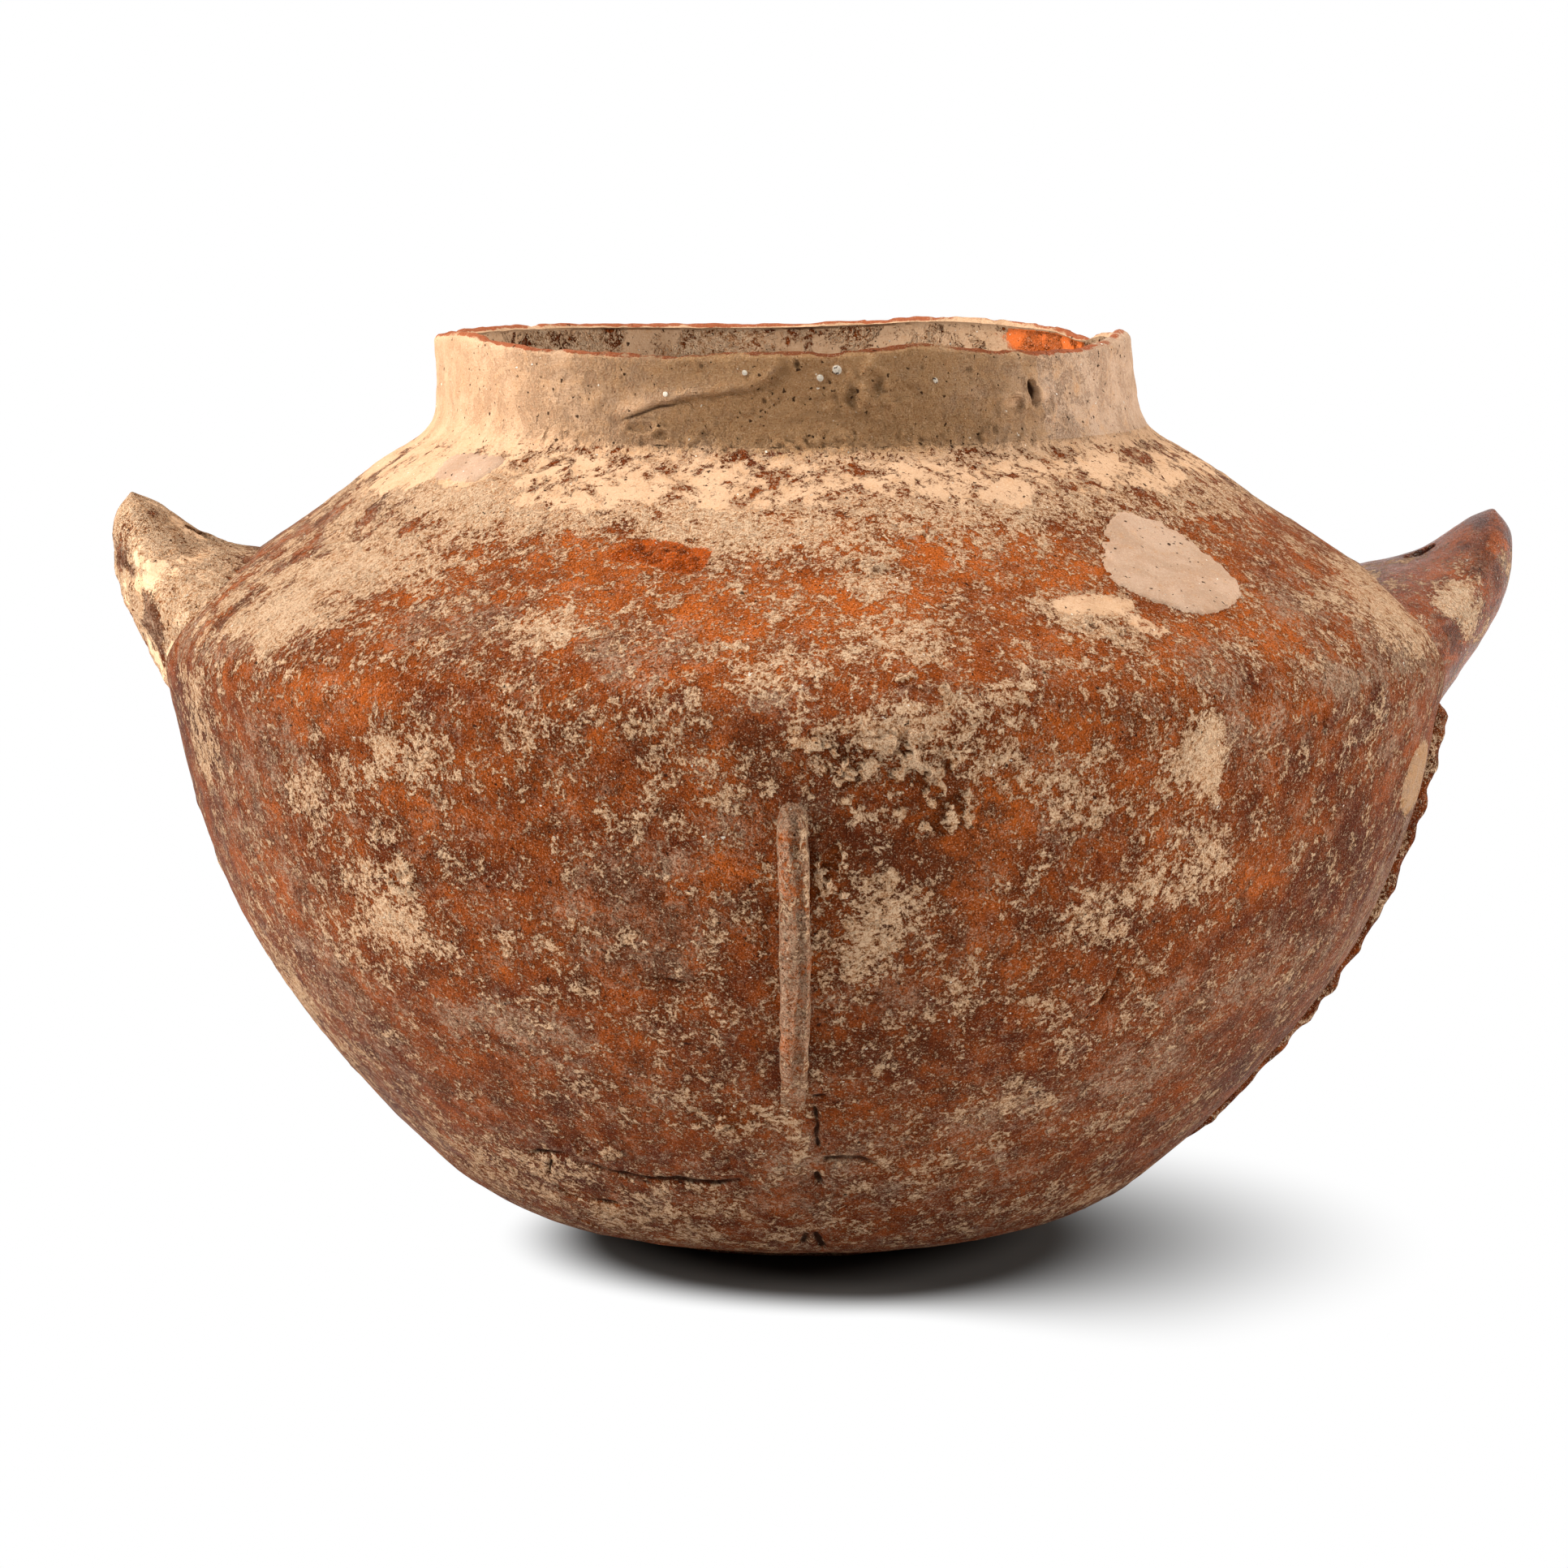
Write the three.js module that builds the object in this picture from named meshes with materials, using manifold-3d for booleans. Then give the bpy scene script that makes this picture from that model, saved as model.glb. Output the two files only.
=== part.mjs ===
// A hand-built, round-bottomed jar with an upright collar neck and two pierced horn lugs.
// Millimetres, +Z up. The front faces -Y, and the origin is on the resting surface, on the bowl's axis.
import * as THREE from "three";
import { mergeVertices } from "three/addons/utils/BufferGeometryUtils.js";
import Module from "manifold-3d";

const wasm = await Module();
wasm.setup();

// Heights of the bands, one standing on the other
const dishTall = 24; // moulded base dish
const wallTall = 103; // coiled wall, up to the soft fold
const shoulderTall = 48.5; // from the fold to the foot of the collar
const lowerCoilTall = 8.5; // the two coils of the collar
const upperCoilTall = 10.3;
const foldHeight = dishTall + wallTall;
const neckHeight = foldHeight + shoulderTall;
const coilHeight = neckHeight + lowerCoilTall;
const lipHeight = coilHeight + upperCoilTall;

// Outer radii, and the points of the outline between them
const footRadius = 34; // the worn flat that the jar stands on
const dishSpread = 52; // from the edge of the flat out to the edge of the dish
const dishFullness = 6.5; // how far the curve of the dish swells past a straight slope
const dishBelly = 9; // height of that swelling
const foldRadius = 138;
const hip = { inward: 20.8, up: 38 }; // in from the fold and up from the dish
const flank = { inward: 8, up: 66 };
const underFold = { inward: 1.8, down: 11 }; // the roundness of the fold, below and above it
const overFold = { inward: 2.2, up: 6 };
const offFold = { inward: 9.2, up: 13 };
const neckRadius = 77;
const slope = { outward: 27, down: 19 }; // out and down from the foot of the collar
const slopeHollow = 1; // how far the slope dips in below the collar
const collarTaper = 2.3; // how much the collar draws in, up to the lip
const coilBulge = 0.4; // how far the joint of its coils stands out past the lip
const dishRadius = footRadius + dishSpread;
const lipRadius = neckRadius - collarTaper;

// Wall thicknesses
const footWall = 9;
const sideWall = 7;
const shoulderWall = 6.5;
const neckWall = 5.6;
const lipWall = 3.6;
const floorDip = 5.4; // how far the floor sinks from its edge to the middle

// Clearance between a piece and the one that it is pressed on or let into
const gap = 0.3;

// Hand-made unevenness
const neckDrift = -4.9; // sideways lean of the lip from the middle of the bowl
const footDrift = -1.5; // sideways lean of the foot
const swell = { size: 0.8, waves: 2 }; // slow bulge between the four sides
const ripple = { size: 0.35, waves: 6 }; // shorter bulge left by the fingers
const fullTurn = 360;
const lipSwells = [
  { at: -172, rise: -1.1, spread: 26 },
  { at: -67, rise: 1.9, spread: 12 },
  { at: -22, rise: -0.9, spread: 14 },
  { at: 22, rise: 1.5, spread: 7 },
  { at: 50, rise: -1.2, spread: 14 },
  { at: 78, rise: 1.6, spread: 8 },
  { at: 111, rise: -1.8, spread: 7 },
  { at: 148, rise: 1.2, spread: 16 },
];

// Horn lugs, by their upper line from root to tip and their lower line below it, all beside the fold
const hornRootTop = { out: -34, up: 20 };
const hornSaddle = { out: -20.5, up: 21.6 };
const hornBrow = { out: -9, up: 25.2 };
const hornCrest = { out: 0.4, up: 31.6 };
const hornTip = { out: 6.2, up: 34.3 };
const hornRootFoot = { out: -10.5, up: -21 };
const hornBack = { out: 3.8, up: 0.5 };
const hornCheek = { out: 9.8, up: 15.5 };
const hornPoll = { out: 9.9, up: 29.2 };
const hornWidth = 92; // round the body, where the horn grows out of the fold
const hornTipWidth = 9;
const hornTaper = 1.3; // how fast the width falls towards the tip
const hornBluntness = 12; // how late the end rounds off
const leftHorn = { name: "left_horn", side: -1, reach: 0, splay: 0.4, lift: 0, hue: 0xd9bd98 };
const rightHorn = { name: "right_horn", side: 1, reach: 3.2, splay: 1, lift: -4.1, hue: 0xa9694a };
const stringHole = 6.5; // diameter of the hole for the hanging cord
const stringSlope = 51; // degrees, along the shoulder
const stringPlace = { out: -2.2, up: 16.4 };
const stringForward = 2; // the hole lies a little in front of the ridge

// Applied ribs that run down the bowl, with their azimuths in degrees round from the front
const ribWidth = 7;
const ribGroove = 1.3; // depth of the groove along a rib's back
const grooveShare = 0.36; // its half width, as a share of the rib's
const ribSquareness = 0.4; // low for a flat back with round edges
const ribRoot = 3.5; // how far a rib's section reaches into the wall before it is cut
const ribSetOn = 7; // length over which a rib gains its full height
const ribBlunt = 0.45; // share of it that a rib has at its very top
const ribFadeOut = 14; // length over which it sinks into the wall again
const ribTail = 0.16; // share of its height that is left at its foot
const ribNarrowing = 0.25; // how much slimmer it would be at no height
const beadPitch = 7.5; // spacing of the pinches along a rib
const ribDrop = 15; // from the fold down to the top of a rib
const rightRibDrop = 11; // the right one runs up to the horn
const leftRibDrop = 28; // the left one is worn away at the top
const ribRise = 25; // from the edge of the dish up to the foot of a short rib
const rightRibFall = 10; // how far a long rib runs down on to the dish
const leftRibFall = 4;
const ribTop = foldHeight - ribDrop;
const rightRibTop = foldHeight - rightRibDrop;
const leftRibTop = foldHeight - leftRibDrop;
const ribFoot = dishTall + ribRise;
const rightRibFoot = dishTall - rightRibFall;
const leftRibFoot = dishTall - leftRibFall;
const ribProud = 4.4; // how far a rib stands off the wall
const rightRibProud = 5.2;
const leftRibProud = 4.6;
const ribs = [
  { name: "front_rib", azimuth: -1, top: ribTop, foot: ribFoot, proud: ribProud, beads: 0.03 },
  { name: "right_rib", azimuth: 91.5, top: rightRibTop, foot: rightRibFoot, proud: rightRibProud, beads: 0.06 },
  { name: "back_rib", azimuth: 179, top: ribTop, foot: ribFoot, proud: ribProud, beads: 0.03 },
  { name: "left_rib", azimuth: -98.5, top: leftRibTop, foot: leftRibFoot, proud: leftRibProud, beads: 0.06 },
];

// Plaster fills of an old repair, each outline across and up from the fill's middle
const fillDepth = 2.2;
const neckFillFrom = 44; // degrees round from the front
const neckFillTo = 92;
const shoulderFillDrop = 23.5; // from the foot of the collar down to the middle of the fill
const rootFillDrop = 5.7;
const wallFillDrop = 23; // from the fold down to the middle of the fill
const shoulderFill = {
  name: "shoulder_fill",
  azimuth: 42.5,
  height: neckHeight - shoulderFillDrop,
  outline: [[1, 18], [9, 16], [14, 1], [12, -9], [-4, -15], [-13, -10], [-18, -2], [-13, 8]],
};
const neckRootFill = {
  name: "neck_fill_left",
  azimuth: -51.5,
  height: neckHeight - rootFillDrop,
  outline: [[-9, 3.6], [0, 4.4], [9, 3.8], [8, -4.2], [0, -5], [-7, -4.4]],
};
const wallFill = {
  name: "wall_fill_right",
  azimuth: 72,
  height: foldHeight - wallFillDrop,
  outline: [[-10, 12], [4, 14], [12, 3], [9, -11], [-5, -14], [-12, -2]],
};

// Steps round the pot, up its bands and along the lofts
const turnSteps = 64;
const outlineSteps = 420;
const dishSteps = 5;
const dishCrowding = 1.6; // the dish's steps lie closer towards the flat
const wallSteps = 10;
const shoulderSteps = 8;
const insideSteps = 4;
const coilSteps = 2;
const crownSteps = 4;
const hornSteps = 9;
const hornSides = 20;
const ribStep = 3.6;
const ribSides = 8;
const holeSides = 16;
const fillSteps = 3;

const degrees = THREE.MathUtils.degToRad;

// Materials
const firedClay = (color) => new THREE.MeshStandardMaterial({ color, roughness: 0.85, metalness: 0 });
const slipRed = firedClay(0xa8552f);
const crustedSlip = firedClay(0xb87c50);
const limeTan = firedClay(0xcfae84);
const plaster = firedClay(0xe0cbae);

// Outer outline of the pot, from the edge of its worn flat to the lip
const slopeRadius = neckRadius + slope.outward;
const slopeHeight = neckHeight - slope.down;
const outline = new THREE.CatmullRomCurve3(
  [
    [footRadius, 0],
    [(footRadius + dishRadius) / 2 + dishFullness, dishBelly],
    [dishRadius, dishTall],
    [foldRadius - hip.inward, dishTall + hip.up],
    [foldRadius - flank.inward, dishTall + flank.up],
    [foldRadius - underFold.inward, foldHeight - underFold.down],
    [foldRadius, foldHeight],
    [foldRadius - overFold.inward, foldHeight + overFold.up],
    [foldRadius - offFold.inward, foldHeight + offFold.up],
    [slopeRadius, slopeHeight],
    [(slopeRadius + neckRadius) / 2 - slopeHollow, (slopeHeight + neckHeight) / 2 + slopeHollow],
    [neckRadius, neckHeight],
    [lipRadius + coilBulge, coilHeight],
    [lipRadius, lipHeight],
  ].map(([radius, height]) => new THREE.Vector3(radius, 0, height)),
  false,
  "centripetal",
);
const outerLine = outline.getPoints(outlineSteps).map((p) => new THREE.Vector2(p.x, p.z));

// Thickness of the wall at a height
function wallAt(height) {
  const heights = [0, dishTall, foldHeight, neckHeight, lipHeight];
  const walls = [footWall, sideWall, shoulderWall, neckWall, lipWall];
  const above = heights.findIndex((h) => h > height);
  if (above < 1) return above === 0 ? footWall : lipWall;
  const share = (height - heights[above - 1]) / (heights[above] - heights[above - 1]);
  return THREE.MathUtils.lerp(walls[above - 1], walls[above], share);
}

// The outline moved inwards, square to itself, by a depth that may change with height
function inset(depthAt) {
  return outerLine.map((point, i) => {
    const before = outerLine[Math.max(i - 1, 0)];
    const after = outerLine[Math.min(i + 1, outlineSteps)];
    const along = after.clone().sub(before).normalize();
    const depth = depthAt(point.y);
    return new THREE.Vector2(point.x - along.y * depth, point.y + along.x * depth);
  });
}

// Radius of a line at a height
function radiusAt(line, height) {
  const above = line.findIndex((p) => p.y >= height);
  if (above < 1) return line[above === 0 ? 0 : line.length - 1].x;
  const low = line[above - 1];
  const high = line[above];
  return THREE.MathUtils.lerp(low.x, high.x, (height - low.y) / (high.y - low.y));
}

const innerLine = inset(wallAt);

// Rise of the lip at an azimuth, in degrees round from the front
function lipRise(azimuth) {
  return lipSwells.reduce((sum, { at, rise, spread }) => {
    const away = THREE.MathUtils.euclideanModulo(azimuth - at + fullTurn / 2, fullTurn) - fullTurn / 2;
    return sum + rise * Math.exp(-((away / spread) ** 2));
  }, 0);
}

// Sideways lean of the pot's centre at a height
function leanAt(height) {
  const above = (height - foldHeight) / (lipHeight - foldHeight);
  const below = 1 - height / (dishTall + hip.up);
  return neckDrift * Math.max(above, 0) + footDrift * Math.max(below, 0);
}

// Moves a point of a true turned shape to where the potter's hands left it
function handBuilt(point) {
  const turn = Math.atan2(point.x, -point.y);
  const radius = Math.hypot(point.x, point.y);
  const wave = ({ size, waves }) => size * Math.sin(waves * turn);
  const bulge = (wave(swell) + wave(ripple)) * Math.min(radius / footRadius, 1);
  const scale = radius > 0 ? (radius + bulge) / radius : 1;
  const share = THREE.MathUtils.clamp((point.z - coilHeight) / upperCoilTall, 0, 1);
  const lean = leanAt(point.z);
  point.set(point.x * scale + lean, point.y * scale, point.z + lipRise(THREE.MathUtils.radToDeg(turn)) * share);
}

// Mesh data to a solid and back
function toSolid(geometry) {
  const bare = geometry.clone();
  bare.deleteAttribute("normal");
  bare.deleteAttribute("uv");
  const merged = mergeVertices(bare, 1e-4);
  const mesh = new wasm.Mesh({
    numProp: 3,
    vertProperties: new Float32Array(merged.getAttribute("position").array),
    triVerts: new Uint32Array(merged.index.array),
  });
  return new wasm.Manifold(mesh);
}

function toGeometry(solid) {
  const mesh = solid.getMesh();
  const geometry = new THREE.BufferGeometry();
  geometry.setAttribute("position", new THREE.BufferAttribute(mesh.vertProperties, 3));
  geometry.setIndex(new THREE.BufferAttribute(mesh.triVerts, 1));
  geometry.computeVertexNormals();
  return geometry;
}

// Turns a closed profile of radius and height round the pot's axis, then lets the hands at it
function turned(profile) {
  const geometry = new THREE.LatheGeometry(profile, turnSteps).rotateX(Math.PI / 2);
  const position = geometry.getAttribute("position");
  const point = new THREE.Vector3();
  for (let i = 0; i < position.count; i += 1) {
    point.fromBufferAttribute(position, i);
    handBuilt(point);
    position.setXYZ(i, point.x, point.y, point.z);
  }
  return toSolid(geometry);
}

// Heights from one joint to the next, evenly spaced or crowded towards the lower one
function levels(from, to, steps, crowding = 1) {
  return Array.from({ length: steps + 1 }, (_, step) => {
    return THREE.MathUtils.lerp(from, to, (step / steps) ** crowding);
  });
}

// Points of a line at the given heights
function stations(line, heights) {
  return heights.map((height) => new THREE.Vector2(radiusAt(line, height), height));
}

// A band of wall between two level joints, with fewer steps inside where it is smooth
function band(heights, outer = outerLine, inner = innerLine, inside = heights) {
  const up = stations(outer, heights);
  const down = stations(inner, inside).reverse();
  return turned([...up, ...down, up[0].clone()]);
}

const dishHeights = levels(0, dishTall, dishSteps, dishCrowding);
const wallHeights = levels(dishTall, foldHeight, wallSteps);
const shoulderHeights = levels(foldHeight, neckHeight, shoulderSteps);

// The round-bottomed dish that the pot was started in, with a floor that sinks to the middle
function dish() {
  const floorEdge = footWall + floorDip;
  const innerEdge = stations(innerLine, levels(floorEdge, dishTall, coilSteps)).reverse();
  const floorRadius = radiusAt(innerLine, floorEdge);
  const floorPoints = levels(floorRadius, 0, insideSteps).slice(1).map((radius) => {
    return new THREE.Vector2(radius, footWall + floorDip * (radius / floorRadius) ** 2);
  });
  return turned([new THREE.Vector2(0, 0), ...stations(outerLine, dishHeights), ...innerEdge, ...floorPoints]);
}

// The upper coil of the collar, drawn up to a thin half-round lip
function lipBand() {
  const heights = levels(coilHeight, lipHeight - lipWall / 2, coilSteps);
  const up = stations(outerLine, heights);
  const down = stations(innerLine, heights).reverse();
  const top = up[coilSteps];
  const half = (top.x - down[0].x) / 2;
  const crown = levels(0, Math.PI, crownSteps).slice(1, -1).map((angle) => {
    return new THREE.Vector2(top.x - half + half * Math.cos(angle), top.y + (lipWall / 2) * Math.sin(angle));
  });
  return turned([...up, ...crown, ...down, up[0].clone()]);
}

// The whole pot as one filled body, grown by a clearance, to cut what is pressed on to it
function filledPot(grow) {
  const grown = inset(() => -grow);
  const heights = [...dishHeights, ...wallHeights, ...shoulderHeights, coilHeight, lipHeight];
  const side = stations(grown, [...new Set(heights)].slice(1));
  const start = new THREE.Vector2(grown[0].x, -grow);
  return turned([new THREE.Vector2(0, -grow), start, ...side, new THREE.Vector2(0, lipHeight)]);
}

// A closed skin over rings of points, with flat ends
function loft(rings) {
  const sides = rings[0].length;
  const points = rings.flat();
  const first = points.length;
  const middle = (ring) => ring.reduce((sum, p) => sum.add(p), new THREE.Vector3()).divideScalar(sides);
  points.push(middle(rings[0]), middle(rings[rings.length - 1]));
  const faces = [];
  const end = (rings.length - 1) * sides;
  for (let side = 0; side < sides; side += 1) {
    const next = (side + 1) % sides;
    for (let low = 0; low < end; low += sides) {
      const high = low + sides;
      faces.push(low + side, low + next, high + next, low + side, high + next, high + side);
    }
    faces.push(first, next, side, first + 1, end + side, end + next);
  }
  const geometry = new THREE.BufferGeometry().setFromPoints(points);
  geometry.setIndex(faces);
  return toSolid(geometry);
}

// A solid with its faces out, whichever way its rings ran
function facingOut(build, rings) {
  const solid = build(rings);
  return solid.volume() > 0 ? solid : build(rings.map((ring) => [...ring].reverse()));
}

// A straight round bar between two points
function bar(from, to, diameter, sides) {
  const length = from.distanceTo(to);
  const geometry = new THREE.CylinderGeometry(diameter / 2, diameter / 2, length, sides);
  const along = to.clone().sub(from).normalize();
  geometry.applyQuaternion(new THREE.Quaternion().setFromUnitVectors(new THREE.Vector3(0, 1, 0), along));
  const centre = from.clone().add(to).divideScalar(2);
  return toSolid(geometry.translate(centre.x, centre.y, centre.z));
}

// A horn before it is cut: oval sections that narrow from the fold to an upturned tip
function hornBody({ side, reach, splay, lift }, grow) {
  const moved = ({ out, up }) => {
    const share = THREE.MathUtils.smoothstep(up, hornBack.up, hornPoll.up);
    return new THREE.Vector3(foldRadius + out + reach + splay * share, 0, foldHeight + up + lift * share);
  };
  const upper = new THREE.CatmullRomCurve3([hornRootTop, hornSaddle, hornBrow, hornCrest, hornTip].map(moved));
  const lower = new THREE.CatmullRomCurve3([hornRootFoot, hornBack, hornCheek, hornPoll, hornTip].map(moved));
  const rings = levels(0, Math.PI / 2, hornSteps).slice(0, -1).map((turn) => {
    const share = Math.sin(turn);
    const top = upper.getPoint(share);
    const foot = lower.getPoint(share);
    const middle = top.clone().add(foot).divideScalar(2);
    const half = top.clone().sub(foot).divideScalar(2);
    half.setLength(half.length() + grow);
    const width = THREE.MathUtils.lerp(hornTipWidth, hornWidth, (1 - share) ** hornTaper);
    const halfWidth = (width / 2) * Math.sqrt(1 - share ** hornBluntness) + grow;
    return levels(0, 2 * Math.PI, hornSides).slice(1).map((angle) => {
      const point = middle.clone().addScaledVector(half, Math.sin(angle));
      return point.set(point.x * side, Math.cos(angle) * halfWidth, point.z);
    });
  });
  return facingOut(loft, rings);
}

// A horn lug: seated on the pot and pierced for a cord
function horn(lug, potBody) {
  const { side, reach, lift } = lug;
  const turn = degrees(stringSlope);
  const along = new THREE.Vector3(side * Math.cos(turn), 0, -Math.sin(turn)).multiplyScalar(hornWidth);
  const centre = new THREE.Vector3(
    side * (foldRadius + stringPlace.out + reach),
    -stringForward,
    foldHeight + stringPlace.up + lift,
  );
  const hole = bar(centre.clone().sub(along), centre.clone().add(along), stringHole, holeSides);
  return hornBody(lug, 0).subtract(potBody).subtract(hole);
}

// Where the surface of the pot is at an azimuth and height, with its outward and uphill directions
function surfaceAt(azimuth, height) {
  const turn = degrees(azimuth);
  const place = (z) => {
    const radius = radiusAt(outerLine, z);
    const point = new THREE.Vector3(radius * Math.sin(turn), -radius * Math.cos(turn), z);
    handBuilt(point);
    return point;
  };
  const uphill = place(height + 1).sub(place(height - 1)).normalize();
  const around = new THREE.Vector3(Math.cos(turn), Math.sin(turn), 0);
  const outward = new THREE.Vector3().crossVectors(around, uphill).normalize();
  return { point: place(height), outward, around, uphill };
}

// A rib: a strip of clay with a groove along its back, pressed on down the bowl
function rib({ azimuth, top, foot, proud, beads }, potBody) {
  const steps = Math.round((top - foot) / ribStep);
  const rings = levels(top, foot, steps).map((level) => {
    const { point, outward, around } = surfaceAt(azimuth, level);
    const ends = Math.min(1, ribBlunt + (top - level) / ribSetOn, ribTail + (level - foot) / ribFadeOut);
    const bead = 1 + beads * Math.sin(((top - level) * 2 * Math.PI) / beadPitch);
    const half = (ribWidth / 2) * (1 - ribNarrowing * (1 - ends));
    const back = levels(0, Math.PI, ribSides).map((angle) => {
      const across = Math.cos(angle);
      const dip = ribGroove * Math.max(1 - Math.abs(across) / grooveShare, 0);
      return [across * half, (proud * bead * Math.abs(Math.sin(angle)) ** ribSquareness - dip) * ends];
    });
    return [[half, -ribRoot], ...back, [-half, -ribRoot]].map(([across, out]) => {
      return point.clone().addScaledVector(around, across).addScaledVector(outward, out);
    });
  });
  return facingOut(loft, rings).subtract(potBody);
}

// A straight-sided cutter through the wall, with the outline of a fill grown by a clearance
function fillCutter({ azimuth, height, outline: points }, grow) {
  const closed = new THREE.CatmullRomCurve3(
    points.map(([across, up]) => {
      const reach = Math.hypot(across, up);
      return new THREE.Vector3(across, up, 0).multiplyScalar(1 + grow / reach);
    }),
    true,
    "centripetal",
  );
  const edge = closed.getPoints(points.length * fillSteps);
  const shape = new THREE.Shape(edge.map((p) => new THREE.Vector2(p.x, p.y)));
  const depth = 2 * (sideWall + fillDepth);
  const geometry = new THREE.ExtrudeGeometry(shape, { depth, bevelEnabled: false });
  geometry.translate(0, 0, -depth / 2);
  const { point, outward, around, uphill } = surfaceAt(azimuth, height);
  geometry.applyMatrix4(new THREE.Matrix4().makeBasis(around, uphill, outward).setPosition(point));
  return toSolid(geometry);
}

// Takes a fill's recess out of a wall, and gives the wall and the fill that lies flush in it
function letIn(wall, fill, heights) {
  const bed = inset(() => fillDepth + gap);
  const recess = band(heights, inset(() => -fillDepth), bed);
  const skin = band(heights, outerLine, inset(() => fillDepth));
  return {
    wall: wall.subtract(fillCutter(fill, gap).intersect(recess)),
    piece: fillCutter(fill, 0).intersect(skin),
  };
}

// A wedge of the collar between two azimuths, each side drawn in by a clearance
function collarWedge(inward) {
  const turnIn = inward / lipRadius;
  const corner = (turn, radius) => new THREE.Vector2(radius * Math.sin(turn), -radius * Math.cos(turn));
  const from = degrees(neckFillFrom) + turnIn;
  const to = degrees(neckFillTo) - turnIn;
  const near = neckRadius / 2;
  const far = neckRadius * 2;
  const shape = new THREE.Shape([corner(from, near), corner(from, far), corner(to, far), corner(to, near)]);
  const depth = (lipHeight - neckHeight) * 2;
  const geometry = new THREE.ExtrudeGeometry(shape, { depth, bevelEnabled: false });
  return toSolid(geometry.translate(leanAt(coilHeight), 0, neckHeight - depth / 4));
}

const pot = new THREE.Group();

function place(name, solid, material) {
  const mesh = new THREE.Mesh(toGeometry(solid), material);
  mesh.name = name;
  pot.add(mesh);
}

// Bands of the body, each standing on the level edge of the one below, with fills let into them
place("base_dish", dish(), crustedSlip);
const wallBand = band(wallHeights, outerLine, innerLine, levels(dishTall, foldHeight, insideSteps));
const filledWall = letIn(wallBand, wallFill, wallHeights);
place("body_wall", filledWall.wall, slipRed);
place(wallFill.name, filledWall.piece, plaster);
const shoulderInside = levels(foldHeight, neckHeight, insideSteps);
const shoulderBand = band(shoulderHeights, outerLine, innerLine, shoulderInside);
const filledShoulder = letIn(shoulderBand, shoulderFill, shoulderHeights);
const shoulderRest = letIn(filledShoulder.wall, neckRootFill, shoulderHeights);
place("shoulder", shoulderRest.wall, crustedSlip);
place(shoulderFill.name, filledShoulder.piece, plaster);
place(neckRootFill.name, shoulderRest.piece, plaster);

// Collar of two coils, with a plaster length where a stretch of it was lost
const lowerCoil = band(levels(neckHeight, coilHeight, coilSteps));
const upperCoil = lipBand();
place("neck_band", lowerCoil.subtract(collarWedge(0)), limeTan);
place("rim_band", upperCoil.subtract(collarWedge(0)), limeTan);
place("neck_fill_right", lowerCoil.add(upperCoil).intersect(collarWedge(gap)), plaster);

// Lugs and ribs, luted to the outside, with the ribs stopped by the lugs
const potBody = filledPot(gap);
const lugs = [leftHorn, rightHorn];
for (const lug of lugs) place(lug.name, horn(lug, potBody), firedClay(lug.hue));
const ribStop = lugs.reduce((body, lug) => body.add(hornBody(lug, gap)), potBody);
for (const strip of ribs) place(strip.name, rib(strip, ribStop), crustedSlip);

export default pot;
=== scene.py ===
import itertools
import math

import bpy
import numpy as np
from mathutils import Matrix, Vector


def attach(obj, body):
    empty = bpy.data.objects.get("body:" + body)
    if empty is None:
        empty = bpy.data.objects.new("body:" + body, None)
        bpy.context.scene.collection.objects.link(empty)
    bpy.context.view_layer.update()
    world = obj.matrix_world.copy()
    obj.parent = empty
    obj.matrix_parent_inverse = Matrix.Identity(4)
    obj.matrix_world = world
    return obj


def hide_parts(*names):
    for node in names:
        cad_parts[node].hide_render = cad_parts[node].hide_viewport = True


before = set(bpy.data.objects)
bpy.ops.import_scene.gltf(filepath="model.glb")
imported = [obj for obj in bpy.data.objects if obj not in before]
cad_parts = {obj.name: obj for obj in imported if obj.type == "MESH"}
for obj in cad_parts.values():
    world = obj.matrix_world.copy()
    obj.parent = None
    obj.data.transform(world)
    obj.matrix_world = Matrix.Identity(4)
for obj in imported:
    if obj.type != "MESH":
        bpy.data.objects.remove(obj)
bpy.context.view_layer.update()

# Bowl wall
# The coiled wall of the jar, from the base dish up to the soft fold, of low-fired clay 7 mm thick.
# Its red slip was rubbed smooth, and has since been stained brown and crusted with lime.
MM = 0.001
DISH_TOP, FOLD_TOP, NECK_FOOT, COIL_TOP, LIP_TOP = 24, 127, 175.5, 184, 194.3
OUTLINE = [(34, 0), (66.5, 9), (86, 24), (117.2, 62), (130, 90), (136.2, 116), (138, 127), (135.8, 133),
           (128.8, 140), (104, 156.5), (89.5, 167), (77, 175.5), (75.1, 184), (74.7, 194.3)]
WALL_HEIGHTS = [0, DISH_TOP, FOLD_TOP, NECK_FOOT, LIP_TOP]
WALL_THICKNESS = [9, 7, 6.5, 5.6, 3.6]
LIP_SWELLS = [(-172, -1.1, 26), (-67, 1.9, 12), (-22, -0.9, 14), (22, 1.5, 7), (50, -1.2, 14), (78, 1.6, 8),
              (111, -1.8, 7), (148, 1.2, 16)]
NECK_DRIFT, FOOT_DRIFT, HIP_HEIGHT, FOOT_RADIUS = -4.9, -1.5, 62, 34
TURN_STEPS = 720
WALL_STEP = 1.18


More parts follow.
